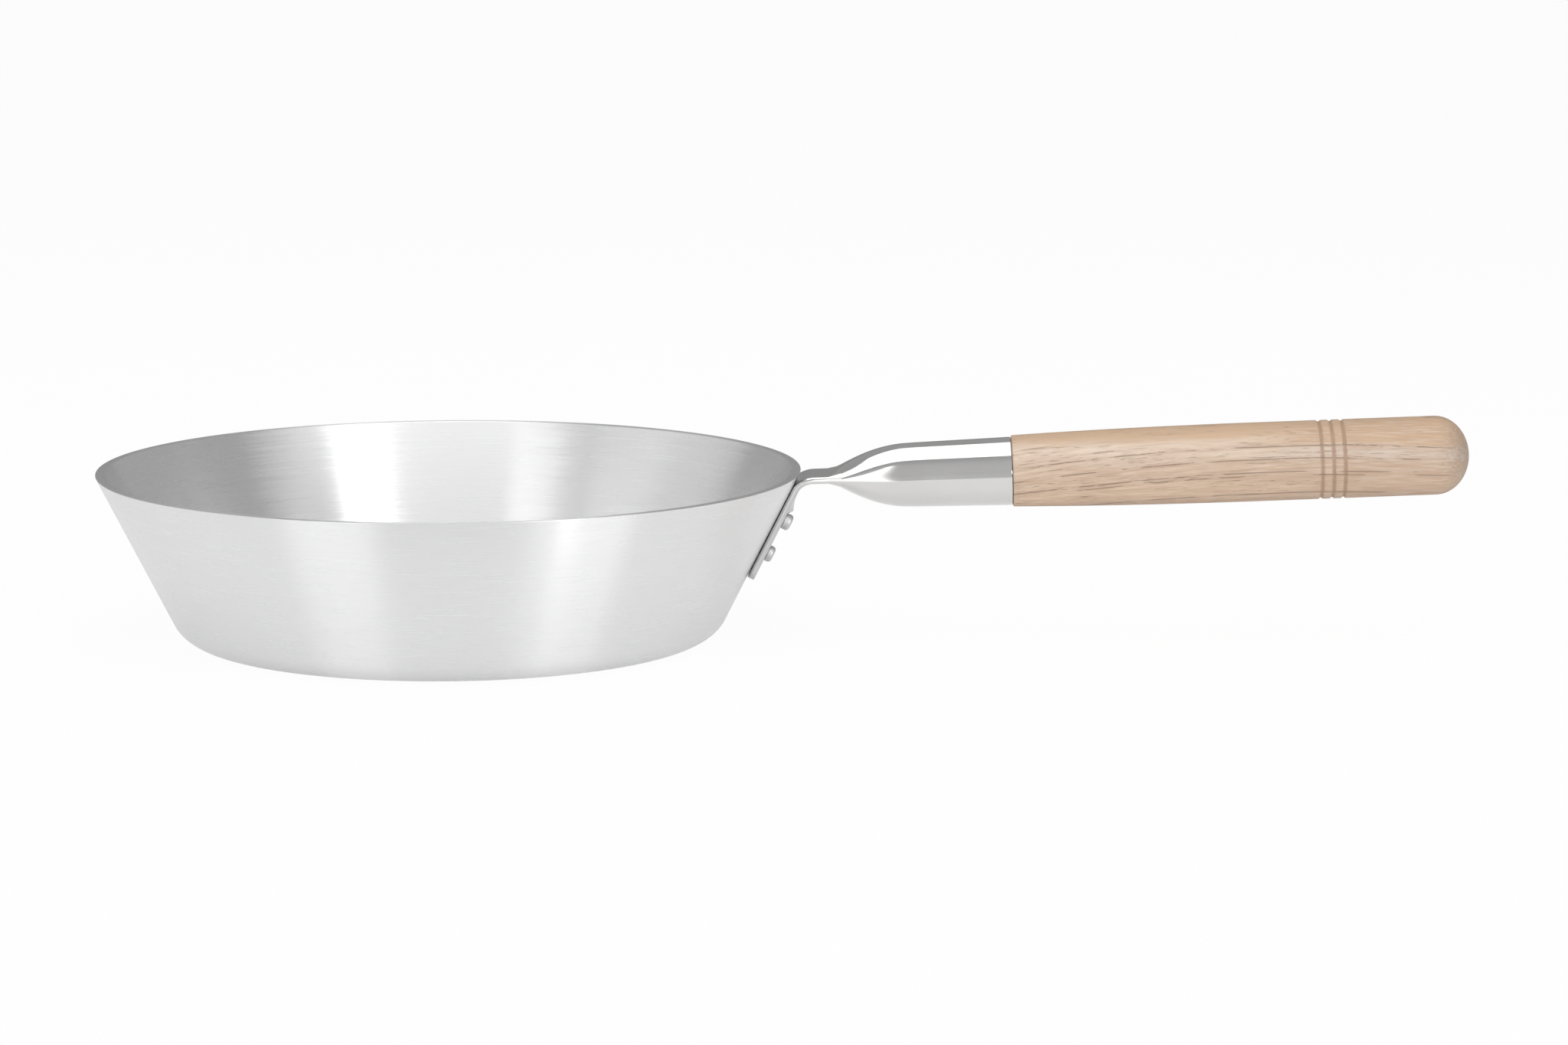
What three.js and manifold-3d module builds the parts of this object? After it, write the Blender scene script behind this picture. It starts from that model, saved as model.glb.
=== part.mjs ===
// Frying pan: a spun aluminium bowl, a steel tube that is flattened into a strap and riveted to the wall,
// and a turned wooden grip pushed into the tube and held there by a pin.
// Millimetres, +Z up. The origin is the centre of the base's underside, and the handle runs along +X.

import * as THREE from 'three';
import { mergeVertices } from 'three/addons/utils/BufferGeometryUtils.js';
import Module from 'manifold-3d';

const wasm = await Module();
wasm.setup();

// Bowl
const RIM_DIAMETER = 280; // outside, across the rim
const BASE_DIAMETER = 212; // outside, where the straight wall would meet the hob
const BOWL_HEIGHT = 67.5; // from the hob to the rim
const SHEET = 3; // thickness of the base and of the wall
const BASE_BEND_RADIUS = 14; // outside, between the base and the wall
const RIM_EASE = 0.4; // broken edges of the cut rim

// Handle tube: strap on the wall, bend, flat neck, flare, round socket
const TUBE_WALL = 1.4; // the flattened strap is two walls thick
const NECK_WIDTH = 25.6; // across the strap, the neck and the start of the socket
const SOCKET_DIAMETER = 27.2; // outside, at the mouth that takes the grip
const SOCKET_LENGTH = 38; // fully round run up to the mouth
const FLARE_LENGTH = 35; // from the flat neck to the round socket
const NECK_LENGTH = 5.6; // flat run between the bend and the flare
const BEND_RADIUS = 8; // to the middle of the flattened tube
const NECK_DROP = 3.35; // from the rim's plane down to the corner of the bend
const NECK_RISE = 0.7; // of the flat neck's middle above the socket's axis
const HANDLE_TILT = 2.15; // degrees that the handle rises from level
const STRAP_END = 7.7; // from the lower rivet's head to the strap's end
const STRAP_CORNER_RADIUS = 4;
const BEAD_LENGTH = 10.5; // stiffening bead, from the bend to the upper rivet's head
const BEAD_RISE = 1; // run in which the bead climbs to its full height beside the rivet
const BEAD_HEIGHT = 2; // beside the rivet
const BEAD_FADE = 2.2; // how soon the bead sinks on its way to the bend
const BEAD_WIDTH = 11;
const FLARE_SWELL = 2.2; // how soon the flare opens out
const FLARE_START = 1.15; // how softly the flare leaves the neck
const OVAL_START = 0.25; // share of the flare's opening at which its section has become an oval
const CAVITY_START = 0.1; // share of the flare's opening at which the two walls part

// Rivets
const RIVET_DIAMETER = 4; // shank
const RIVET_HEAD_DIAMETER = 6.6;
const UPPER_HEAD_HEIGHT = 3; // outside, on the strap
const LOWER_HEAD_HEIGHT = 2.4;
const RIVET_INNER_HEAD_HEIGHT = 1.8; // inside the bowl
const RIVET_HEAD_SPACE = 8; // clear space between the two heads on the strap
const RIVET_CROWN_RADIUS = 1.3; // rounding of a head's edge

// Grip
const GRIP_LENGTH = 181.8; // outside the socket
const GRIP_DIAMETER = 31.4; // at its fullest
const GRIP_START_DIAMETER = 28.4; // beside the socket
const SWELL_LENGTH = 95; // run in which the grip swells to its full diameter
const SHOULDER_EASE = 0.8; // broken edge beside the socket
const DOME_LENGTH = 13.4; // rounded butt
const GROOVE_COUNT = 3;
const GROOVE_SPACING = 4.5;
const GROOVE_WIDTH = 2;
const GROOVE_DEPTH = 0.6;
const GROOVE_FROM_BUTT = 50.5; // the groove nearest the butt
const TENON_SHORT = 7; // from the tenon's tip to where the socket starts to flatten
const TENON_EASE = 1; // broken edge of the tenon's tip

// Grip pin, driven in from below, with its head sunk in the tube's wall
const PIN_DIAMETER = 2.5; // shank
const PIN_LENGTH = 10; // over the head
const PIN_HEAD_DIAMETER = 4.4;
const PIN_HEAD_HEIGHT = 1; // of the cone under the head
const PIN_SINK = 0.25; // below the tube's surface
const PIN_POINT = 1.5; // length of the tapered point

const FIT_GAP = 0.3; // clearance between pieces that seat on or pass through each other
const WELD = 1e-4; // points closer than this are one point

// Facets
const BOWL_SIDES = 80;
const GRIP_SIDES = 36;
const RIVET_SIDES = 24;
const PIN_SIDES = 16;
const BASE_BEND_STEPS = 6;
const STRAP_CORNER_STEPS = 4;
const BEAD_STEPS = 4;
const BEND_STEPS = 7;
const FLARE_STEPS = 12;
const EDGE_STEPS = 10; // round each folded edge of the strap
const FLAT_STEPS = 8; // across each flat of the strap
const SWELL_STEPS = 6;
const DOME_STEPS = 7;
const CROWN_STEPS = 4;

// The wall leans out from the vertical by this angle
const lean = Math.atan2(RIM_DIAMETER / 2 - BASE_DIAMETER / 2, BOWL_HEIGHT);
const levelSheet = SHEET / Math.cos(lean); // the wall's thickness measured level

function wallRadius(height) {
  return BASE_DIAMETER / 2 + height * Math.tan(lean);
}

// Side view, in the plane of X and Z: a heading is an angle up from +X
const strapHeading = Math.PI / 2 - lean;
const axisHeading = THREE.MathUtils.degToRad(HANDLE_TILT);

function ahead(heading) {
  return new THREE.Vector2(Math.cos(heading), Math.sin(heading));
}

function leftOf(heading) {
  return new THREE.Vector2(-Math.sin(heading), Math.cos(heading));
}

function moved(point, heading, distance) {
  return point.clone().addScaledVector(ahead(heading), distance);
}

// Where the strap's middle plane, just clear of the wall, crosses the handle's axis
const cornerHeight = BOWL_HEIGHT - NECK_DROP;
const wallToMiddle = FIT_GAP + TUBE_WALL;
const bendCorner = new THREE.Vector2(wallRadius(cornerHeight) + wallToMiddle / Math.cos(lean), cornerHeight);
const bendReach = BEND_RADIUS * Math.tan((strapHeading - axisHeading) / 2);
const bendFoot = moved(bendCorner, strapHeading, -bendReach);
const bendHead = moved(bendCorner, axisHeading, bendReach);
const flareFoot = moved(bendHead, axisHeading, NECK_LENGTH);

// Middle of the flare at a share of its length, where it sinks to the socket's axis as it opens
function flarePoint(share, opened) {
  const level = moved(flareFoot, axisHeading, FLARE_LENGTH * share);
  return level.addScaledVector(leftOf(axisHeading), -NECK_RISE * opened);
}

const socketFoot = flarePoint(1, 1);
const socketMouth = moved(socketFoot, axisHeading, SOCKET_LENGTH);

// Distances down the strap from the bend
const upperRivetDrop = BEAD_LENGTH + FIT_GAP + RIVET_HEAD_DIAMETER / 2;
const lowerRivetDrop = upperRivetDrop + RIVET_HEAD_DIAMETER + RIVET_HEAD_SPACE;
const strapLength = lowerRivetDrop + RIVET_HEAD_DIAMETER / 2 + STRAP_END;

// The socket's outside radius at a distance back from its mouth
function socketRadius(fromMouth) {
  return THREE.MathUtils.lerp(SOCKET_DIAMETER, NECK_WIDTH, fromMouth / SOCKET_LENGTH) / 2;
}

const tenonLength = SOCKET_LENGTH - TENON_SHORT;
const pinFromMouth = tenonLength / 2;

// Materials
function finish(color, metalness, roughness) {
  return new THREE.MeshStandardMaterial({ color, metalness, roughness });
}

const spunAluminium = finish(0xd6d7d8, 1, 0.35);
const polishedSteel = finish(0xdcdbda, 1, 0.12);
const rivetAluminium = finish(0xcbcccd, 1, 0.4);
const paleWood = finish(0xd8b692, 0, 0.6);
const pinSteel = finish(0xb4b4b4, 1, 0.3);

// Solids for cutting
function solidOf(geometry) {
  const bare = geometry.clone();
  bare.deleteAttribute('normal');
  bare.deleteAttribute('uv');
  const merged = mergeVertices(bare, WELD);
  const corners = merged.index.array;
  const triangles = [];
  for (let i = 0; i < corners.length; i += 3) {
    const [a, b, c] = corners.slice(i, i + 3);
    if (a !== b && b !== c && c !== a) {
      triangles.push(a, b, c);
    }
  }
  const mesh = new wasm.Mesh({
    numProp: 3,
    vertProperties: new Float32Array(merged.attributes.position.array),
    triVerts: new Uint32Array(triangles),
  });
  return new wasm.Manifold(mesh);
}

function cut(geometry, cutters) {
  let solid = solidOf(geometry);
  for (const cutter of cutters) {
    solid = solid.subtract(solidOf(cutter));
  }
  const mesh = solid.getMesh();
  const result = new THREE.BufferGeometry();
  result.setAttribute('position', new THREE.BufferAttribute(new Float32Array(mesh.vertProperties), 3));
  result.setIndex(new THREE.BufferAttribute(new Uint32Array(mesh.triVerts), 1));
  result.computeVertexNormals();
  return result;
}

// A profile of points (radius, height) turned about Z
function turned(profile, sides) {
  return new THREE.LatheGeometry(profile, sides).rotateX(Math.PI / 2);
}

function arc(centre, width, height, from, to, steps) {
  return new THREE.EllipseCurve(centre.x, centre.y, width, height, from, to, to < from).getPoints(steps);
}

// Places: each rivet stands square to the wall, and the grip lies along the handle's axis
function placeAt(point, heading) {
  const place = new THREE.Group();
  place.position.set(point.x, 0, point.y);
  place.rotation.y = Math.PI / 2 - heading;
  place.updateMatrix();
  return place;
}

const outward = -lean; // heading straight out of the wall
const upperRivetPlace = placeAt(moved(bendFoot, strapHeading, -upperRivetDrop), outward);
const lowerRivetPlace = placeAt(moved(bendFoot, strapHeading, -lowerRivetDrop), outward);
const gripPlace = placeAt(socketMouth, axisHeading);
const pinPlace = placeAt(moved(socketMouth, axisHeading, -pinFromMouth), axisHeading - Math.PI / 2);

// A round hole along a place's own axis, between two heights on it
function drill(place, radius, from, to) {
  const hole = new THREE.CylinderGeometry(radius, radius, to - from, RIVET_SIDES);
  hole.rotateX(Math.PI / 2);
  hole.translate(0, 0, (from + to) / 2);
  return hole.applyMatrix4(place.matrix);
}

// Along a rivet's axis, from the strap's middle plane
const outerSeat = TUBE_WALL + FIT_GAP;
const innerSeat = -(wallToMiddle + SHEET + FIT_GAP);
const rivetHoles = [upperRivetPlace, lowerRivetPlace].map((place) => {
  const beyond = RIVET_HEAD_DIAMETER / 2;
  return drill(place, RIVET_DIAMETER / 2 + FIT_GAP, innerSeat - beyond, outerSeat + beyond);
});

// Along the pin's axis, from the handle's axis: a tapered point, a shank and a coned head.
// Grown by the clearance, the same outline is the pin's hole.
const pinTop = socketRadius(pinFromMouth) - PIN_SINK;

function pinOutline(grown) {
  const shank = PIN_DIAMETER / 2 + grown;
  const tip = pinTop - PIN_LENGTH - grown;
  return [
    new THREE.Vector2(0, tip),
    new THREE.Vector2(shank, tip + PIN_POINT),
    new THREE.Vector2(shank, pinTop - PIN_HEAD_HEIGHT),
    new THREE.Vector2(PIN_HEAD_DIAMETER / 2 + grown, pinTop),
  ];
}

function pinHoleGeometry() {
  const beyond = pinTop + TUBE_WALL;
  const profile = pinOutline(FIT_GAP);
  profile.push(new THREE.Vector2(PIN_HEAD_DIAMETER / 2 + FIT_GAP, beyond));
  profile.push(new THREE.Vector2(0, beyond));
  return turned(profile, PIN_SIDES).applyMatrix4(pinPlace.matrix);
}

const pinHole = pinHoleGeometry();

// Bowl: one sheet, bent round from the base into the straight wall and cut level at the rim
function bowlGeometry() {
  const bendSlant = BASE_BEND_RADIUS / Math.cos(lean);
  const bendCentre = new THREE.Vector2(wallRadius(BASE_BEND_RADIUS) - bendSlant, BASE_BEND_RADIUS);
  const innerRadius = BASE_BEND_RADIUS - SHEET;
  const easedHeight = BOWL_HEIGHT - RIM_EASE;
  const rimRadius = RIM_DIAMETER / 2;
  const down = -Math.PI / 2;
  const profile = [
    new THREE.Vector2(0, 0),
    ...arc(bendCentre, BASE_BEND_RADIUS, BASE_BEND_RADIUS, down, outward, BASE_BEND_STEPS),
    new THREE.Vector2(wallRadius(easedHeight), easedHeight),
    new THREE.Vector2(rimRadius - RIM_EASE, BOWL_HEIGHT),
    new THREE.Vector2(rimRadius - levelSheet + RIM_EASE, BOWL_HEIGHT),
    new THREE.Vector2(wallRadius(easedHeight) - levelSheet, easedHeight),
    ...arc(bendCentre, innerRadius, innerRadius, outward, down, BASE_BEND_STEPS),
    new THREE.Vector2(0, SHEET),
  ];
  return cut(turned(profile, BOWL_SIDES), rivetHoles);
}

// Tube sections, as points (across, up) going round. A flat section has folded round edges.
function flatSection(halfWidth, halfThickness, beadHeight) {
  const run = halfWidth - halfThickness;
  const points = [];
  for (const side of [1, -1]) {
    for (let i = 0; i < EDGE_STEPS; i += 1) {
      const turn = Math.PI * (i / EDGE_STEPS - 0.5);
      const edge = ahead(turn).multiplyScalar(halfThickness);
      points.push(new THREE.Vector2(side * (run + edge.x), side * edge.y));
    }
    for (let i = 0; i < FLAT_STEPS; i += 1) {
      const across = side * run * (1 - (2 * i) / FLAT_STEPS);
      const inBead = side < 0 && Math.abs(across) < BEAD_WIDTH / 2;
      const bead = inBead ? beadHeight * Math.cos((Math.PI * across) / BEAD_WIDTH) ** 2 : 0;
      points.push(new THREE.Vector2(across, side * (halfThickness + bead)));
    }
  }
  return points;
}

function roundSection(radius) {
  const count = 2 * (EDGE_STEPS + FLAT_STEPS);
  const start = (-EDGE_STEPS / count) * Math.PI;
  return Array.from({ length: count }, (_, i) => {
    return ahead(start + (2 * Math.PI * i) / count).multiplyScalar(radius);
  });
}

// A section part way from flat to round: the flat one soon turns into an oval, which then grows taller
function openedSection(opened, inset) {
  const halfWidth = NECK_WIDTH / 2 - inset;
  const flat = flatSection(halfWidth, TUBE_WALL - inset, 0);
  const round = roundSection(halfWidth);
  const squeeze = THREE.MathUtils.lerp(TUBE_WALL - inset, halfWidth, opened) / halfWidth;
  return flat.map((point, i) => {
    const oval = new THREE.Vector2(round[i].x, round[i].y * squeeze);
    return point.lerp(round[i], opened).lerp(oval, Math.min(1, opened / OVAL_START));
  });
}

// A section standing square across the handle's line
function standing(section, point, heading) {
  const up = leftOf(heading);
  return section.map((p) => new THREE.Vector3(point.x + up.x * p.y, p.x, point.y + up.y * p.y));
}

// A closed skin over a row of rings, capped at both ends
function skin(rings) {
  const count = rings[0].length;
  const points = rings.flat();
  const index = [];
  for (let ring = 0; ring + 1 < rings.length; ring += 1) {
    for (let i = 0; i < count; i += 1) {
      const a = ring * count + i;
      const b = ring * count + ((i + 1) % count);
      index.push(a, b, b + count, a, b + count, a + count);
    }
  }
  for (const [ring, flip] of [[0, true], [rings.length - 1, false]]) {
    const centre = points.length;
    const sum = rings[ring].reduce((total, p) => total.add(p), new THREE.Vector3());
    points.push(sum.divideScalar(count));
    for (let i = 0; i < count; i += 1) {
      const a = ring * count + i;
      const b = ring * count + ((i + 1) % count);
      index.push(centre, flip ? b : a, flip ? a : b);
    }
  }
  const geometry = new THREE.BufferGeometry().setFromPoints(points);
  geometry.setIndex(index);
  return geometry;
}

// Strap: rounded end, plain run to the bead's foot, then the bead, which fades out towards the bend
function strapRings() {
  const rings = [];
  const ring = (drop, halfWidth, bead) => {
    const point = moved(bendFoot, strapHeading, -drop);
    rings.push(standing(flatSection(halfWidth, TUBE_WALL, bead), point, strapHeading));
  };
  for (let i = 0; i <= STRAP_CORNER_STEPS; i += 1) {
    const turn = (Math.PI / 2) * (i / STRAP_CORNER_STEPS);
    const fromEnd = STRAP_CORNER_RADIUS * (1 - Math.cos(turn));
    const narrowed = STRAP_CORNER_RADIUS * (1 - Math.sin(turn));
    ring(strapLength - fromEnd, NECK_WIDTH / 2 - narrowed, 0);
  }
  ring(BEAD_LENGTH, NECK_WIDTH / 2, 0);
  for (let i = 0; i < BEAD_STEPS; i += 1) {
    const left = 1 - i / BEAD_STEPS;
    ring((BEAD_LENGTH - BEAD_RISE) * left, NECK_WIDTH / 2, BEAD_HEIGHT * left ** BEAD_FADE);
  }
  return rings;
}

// Bend, from the strap to the neck
function bendRings() {
  const centre = moved(bendFoot, outward, BEND_RADIUS);
  return Array.from({ length: BEND_STEPS + 1 }, (_, i) => {
    const share = i / BEND_STEPS;
    const heading = THREE.MathUtils.lerp(strapHeading, axisHeading, share);
    const point = centre.clone().addScaledVector(leftOf(heading), BEND_RADIUS);
    return standing(flatSection(NECK_WIDTH / 2, TUBE_WALL, 0), point, heading);
  });
}

function flareOpening(share) {
  return (1 - (1 - share) ** FLARE_SWELL) ** FLARE_START;
}

// Flare, from the neck to the round socket; inset by the wall for the cavity inside
function flareRings(inset) {
  const rings = [];
  for (let i = 0; i <= FLARE_STEPS; i += 1) {
    const opened = flareOpening(i / FLARE_STEPS);
    if (inset === 0 || opened >= CAVITY_START) {
      const point = flarePoint(i / FLARE_STEPS, opened);
      rings.push(standing(openedSection(opened, inset), point, axisHeading));
    }
  }
  return rings;
}

function mouthRing(inset) {
  return standing(roundSection(SOCKET_DIAMETER / 2 - inset), socketMouth, axisHeading);
}

function tubeGeometry() {
  const outside = [...strapRings(), ...bendRings(), ...flareRings(0), mouthRing(0)];
  const inside = [...flareRings(TUBE_WALL), mouthRing(TUBE_WALL)].reverse();
  return cut(skin([...outside, ...inside]), [...rivetHoles, pinHole]);
}

// Grip, along the handle's axis from the socket's mouth
function gripRadius(fromShoulder) {
  const left = Math.max(0, 1 - fromShoulder / SWELL_LENGTH);
  return (GRIP_DIAMETER - (GRIP_DIAMETER - GRIP_START_DIAMETER) * left ** 2) / 2;
}

function gripGeometry() {
  const boreClear = TUBE_WALL + FIT_GAP;
  const tipRadius = socketRadius(tenonLength) - boreClear;
  const rootRadius = socketRadius(0) - boreClear;
  const onGrip = (distance, depth = 0) => {
    return new THREE.Vector2(gripRadius(distance) - depth, FIT_GAP + distance);
  };
  const firstGroove = GRIP_LENGTH - GROOVE_FROM_BUTT - GROOVE_SPACING * (GROOVE_COUNT - 1);
  const swellEnd = Math.min(SWELL_LENGTH, firstGroove - GROOVE_WIDTH);
  const profile = [
    new THREE.Vector2(0, -tenonLength),
    new THREE.Vector2(tipRadius - TENON_EASE, -tenonLength),
    new THREE.Vector2(tipRadius, TENON_EASE - tenonLength),
    new THREE.Vector2(rootRadius, FIT_GAP),
    onGrip(0, SHOULDER_EASE),
  ];
  for (let i = 0; i <= SWELL_STEPS; i += 1) {
    profile.push(onGrip(THREE.MathUtils.lerp(SHOULDER_EASE, swellEnd, i / SWELL_STEPS)));
  }
  for (let i = 0; i < GROOVE_COUNT; i += 1) {
    const groove = firstGroove + GROOVE_SPACING * i;
    profile.push(onGrip(groove - GROOVE_WIDTH / 2));
    profile.push(onGrip(groove, GROOVE_DEPTH));
    profile.push(onGrip(groove + GROOVE_WIDTH / 2));
  }
  const domeFoot = onGrip(GRIP_LENGTH - DOME_LENGTH);
  const domeCentre = new THREE.Vector2(0, domeFoot.y);
  profile.push(...arc(domeCentre, domeFoot.x, DOME_LENGTH, 0, Math.PI / 2, DOME_STEPS));
  profile[profile.length - 1].x = 0;
  const grip = turned(profile, GRIP_SIDES).applyMatrix4(gripPlace.matrix);
  const back = gripPlace.matrix.clone().invert();
  return cut(grip, [pinHole]).applyMatrix4(back);
}

// Rivet: a shank through the strap and the wall, with a rounded flat head at each end
function rivetGeometry(headHeight) {
  const headRadius = RIVET_HEAD_DIAMETER / 2;
  const shank = RIVET_DIAMETER / 2;
  const innerTop = innerSeat - RIVET_INNER_HEAD_HEIGHT;
  const outerTop = outerSeat + headHeight;
  const innerCrown = Math.min(RIVET_CROWN_RADIUS, RIVET_INNER_HEAD_HEIGHT);
  const outerCrown = Math.min(RIVET_CROWN_RADIUS, headHeight);
  const innerCentre = new THREE.Vector2(headRadius - innerCrown, innerTop + innerCrown);
  const outerCentre = new THREE.Vector2(headRadius - outerCrown, outerTop - outerCrown);
  const profile = [
    new THREE.Vector2(0, innerTop),
    ...arc(innerCentre, innerCrown, innerCrown, -Math.PI / 2, 0, CROWN_STEPS),
    new THREE.Vector2(headRadius, innerSeat),
    new THREE.Vector2(shank, innerSeat),
    new THREE.Vector2(shank, outerSeat),
    new THREE.Vector2(headRadius, outerSeat),
    ...arc(outerCentre, outerCrown, outerCrown, 0, Math.PI / 2, CROWN_STEPS),
    new THREE.Vector2(0, outerTop),
  ];
  return turned(profile, RIVET_SIDES);
}

function pinGeometry() {
  return turned([...pinOutline(0), new THREE.Vector2(0, pinTop)], PIN_SIDES);
}

function piece(name, geometry, material) {
  const mesh = new THREE.Mesh(geometry, material);
  mesh.name = name;
  return mesh;
}

upperRivetPlace.add(piece('rivet_upper', rivetGeometry(UPPER_HEAD_HEIGHT), rivetAluminium));
lowerRivetPlace.add(piece('rivet_lower', rivetGeometry(LOWER_HEAD_HEIGHT), rivetAluminium));
gripPlace.add(piece('wood_grip', gripGeometry(), paleWood));
pinPlace.add(piece('grip_pin', pinGeometry(), pinSteel));

const fryingPan = new THREE.Group();
fryingPan.add(piece('pan_body', bowlGeometry(), spunAluminium));
fryingPan.add(piece('handle_tube', tubeGeometry(), polishedSteel));
fryingPan.add(upperRivetPlace, lowerRivetPlace, gripPlace, pinPlace);

export default fryingPan;
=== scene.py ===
# %% [markdown]
# # A frying pan in Blender
#
# This lesson dresses a frying pan: a spun aluminium bowl, a polished steel tube that is flattened and
# riveted to the wall, and a turned wooden grip. The solids of the frame fix where each piece sits and how
# large it is. Each piece is modelled again here, finer and smoother, in the same place and in metres.

import math

import bmesh
import bpy
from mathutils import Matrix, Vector


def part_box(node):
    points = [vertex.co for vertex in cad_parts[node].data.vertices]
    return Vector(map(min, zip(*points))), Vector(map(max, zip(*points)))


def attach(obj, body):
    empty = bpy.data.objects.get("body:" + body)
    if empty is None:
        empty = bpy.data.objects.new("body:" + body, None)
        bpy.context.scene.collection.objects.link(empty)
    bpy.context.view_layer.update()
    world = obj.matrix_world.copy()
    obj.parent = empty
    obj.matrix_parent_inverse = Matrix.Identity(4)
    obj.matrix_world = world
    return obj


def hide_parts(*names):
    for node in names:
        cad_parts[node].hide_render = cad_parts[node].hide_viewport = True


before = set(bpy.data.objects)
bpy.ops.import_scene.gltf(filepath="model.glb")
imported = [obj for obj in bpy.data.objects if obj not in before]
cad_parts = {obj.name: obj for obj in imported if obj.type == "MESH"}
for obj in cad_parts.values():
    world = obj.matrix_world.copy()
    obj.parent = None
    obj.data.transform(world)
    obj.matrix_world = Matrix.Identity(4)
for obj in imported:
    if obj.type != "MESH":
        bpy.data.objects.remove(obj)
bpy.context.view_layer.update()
MM = 0.001
print("nodes in the frame:", sorted(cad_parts))

# %% [markdown]
# ## Main lines of the pan
#
# Everything starts from the side view, the plane of X and Z. The wall of the bowl leans out, the strap of
# the handle lies on it, bends outwards below the rim and runs on along the handle's axis. A heading is the
# angle of a line up from +X. The bowl's height comes from the frame's box, and the other sizes are named
# here or where they are first needed.

# %% Side view
bowl_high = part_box("pan_body")[1]
BOWL_HEIGHT = bowl_high.z
RIM_RADIUS = 140 * MM
BASE_RADIUS = 106 * MM
SHEET = 3 * MM
TUBE_WALL = 1.4 * MM
FIT_GAP = 0.3 * MM
NECK_DROP = 3.35 * MM
NECK_RISE = 0.7 * MM
BEND_RADIUS = 8 * MM
NECK_LENGTH = 5.6 * MM
FLARE_LENGTH = 35 * MM
SOCKET_LENGTH = 38 * MM
HANDLE_TILT = math.radians(2.15)

lean = math.atan2(RIM_RADIUS - BASE_RADIUS, BOWL_HEIGHT)
strap_heading = math.pi / 2 - lean
axis_heading = HANDLE_TILT


def ahead(heading):
    """The unit vector along a heading in the side view."""
    return Vector((math.cos(heading), 0, math.sin(heading)))


def wall_radius(height):
    """The bowl's outside radius at a height, without the rounding at the base."""
    return BASE_RADIUS + height * math.tan(lean)


corner_height = BOWL_HEIGHT - NECK_DROP
wall_to_middle = FIT_GAP + TUBE_WALL
bend_corner = Vector((wall_radius(corner_height) + wall_to_middle / math.cos(lean), 0, corner_height))
bend_angle = strap_heading - axis_heading
bend_reach = BEND_RADIUS * math.tan(bend_angle / 2)
bend_foot = bend_corner - bend_reach * ahead(strap_heading)
bend_head = bend_corner + bend_reach * ahead(axis_heading)
bend_centre = bend_foot + BEND_RADIUS * ahead(-lean)
flare_foot = bend_head + NECK_LENGTH * ahead(axis_heading)
socket_foot = flare_foot + FLARE_LENGTH * ahead(axis_heading) - NECK_RISE * ahead(axis_heading + math.pi / 2)
socket_mouth = socket_foot + SOCKET_LENGTH * ahead(axis_heading)
print("the wall leans out by", round(math.degrees(lean), 1), "degrees; mouth of the tube at", socket_mouth)

# %% [markdown]
# ## Small helpers
#
# Operators work on whatever is selected, so a piece starts with nothing selected, and inside edit mode the
# part to work on is picked in code by where it lies. A finished piece keeps its object at the origin, with
# its place in its mesh, so patterns in its material stay where they are.

# %% Selecting and finishing
SEAM = 0.002 * MM


def start_fresh():
    """Back to object mode with nothing selected."""
    if bpy.context.object and bpy.context.object.mode != "OBJECT":
        bpy.ops.object.mode_set(mode="OBJECT")
    bpy.ops.object.select_all(action="DESELECT")


def edit(piece):
    """Opens one piece, alone, in edit mode."""
    start_fresh()
    piece.select_set(True)
    bpy.context.view_layer.objects.active = piece
    bpy.ops.object.mode_set(mode="EDIT")


def pick(piece, kind, wanted):
    """In edit mode, selects the vertices, edges or faces that are wanted and counts them."""
    bpy.ops.mesh.select_mode(type=kind)
    bpy.ops.mesh.select_all(action="DESELECT")
    shape = bmesh.from_edit_mesh(piece.data)
    items = {"VERT": shape.verts, "EDGE": shape.edges, "FACE": shape.faces}[kind]
    chosen = [item for item in items if wanted(item)]
    for item in chosen:
        item.select_set(True)
    shape.select_flush_mode()
    bmesh.update_edit_mesh(piece.data)
    return len(chosen)


def settle(piece, smooth_angle):
    """Leaves edit mode with closed seams, faces pointing out and soft shading up to some degrees."""
    edit(piece)
    bpy.ops.mesh.select_all(action="SELECT")
    bpy.ops.mesh.remove_doubles(threshold=SEAM)
    bpy.ops.mesh.normals_make_consistent(inside=False)
    bpy.ops.object.mode_set(mode="OBJECT")
    bpy.ops.object.shade_smooth_by_angle(angle=math.radians(smooth_angle))
    print(piece.name, "has", len(piece.data.polygons), "faces")


def apply_modifier(piece, modifier):
    """Makes a modifier's result the piece's own mesh."""
    bpy.context.view_layer.objects.active = piece
    bpy.ops.object.modifier_apply(modifier=modifier.name)


def lay_in_place(piece, point, heading):
    """A piece modelled upright along Z is laid along a heading, and the move goes into its mesh."""
    start_fresh()
    piece.select_set(True)
    bpy.context.view_layer.objects.active = piece
    piece.rotation_euler = (0, math.pi / 2 - heading, 0)
    piece.location = point
    bpy.ops.object.transform_apply(location=True, rotation=True, scale=True)


def stands_for(piece, node):
    """The piece is attached to the root body and shown in place of a node of the frame, which is hidden."""
    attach(piece, "root")
    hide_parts(node)


# %% [markdown]
# ## The bowl
#
# The real bowl is one aluminium sheet, pressed over a form while it spins. A lathe profile would do, but a
# sheet is also what Blender's Solidify makes: a disc is pulled up into a leaning wall, the base edge is
# rounded with a bevel, and the skin is then given its thickness inwards. The wall is made a little too
# tall and cut off level, as the real rim is.

# %% Pull the wall up from a disc
BOWL_SIDES = 256
BASE_BEND_RADIUS = 14 * MM
BASE_BEND_STEPS = 14
TRIM = 4 * MM

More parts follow.
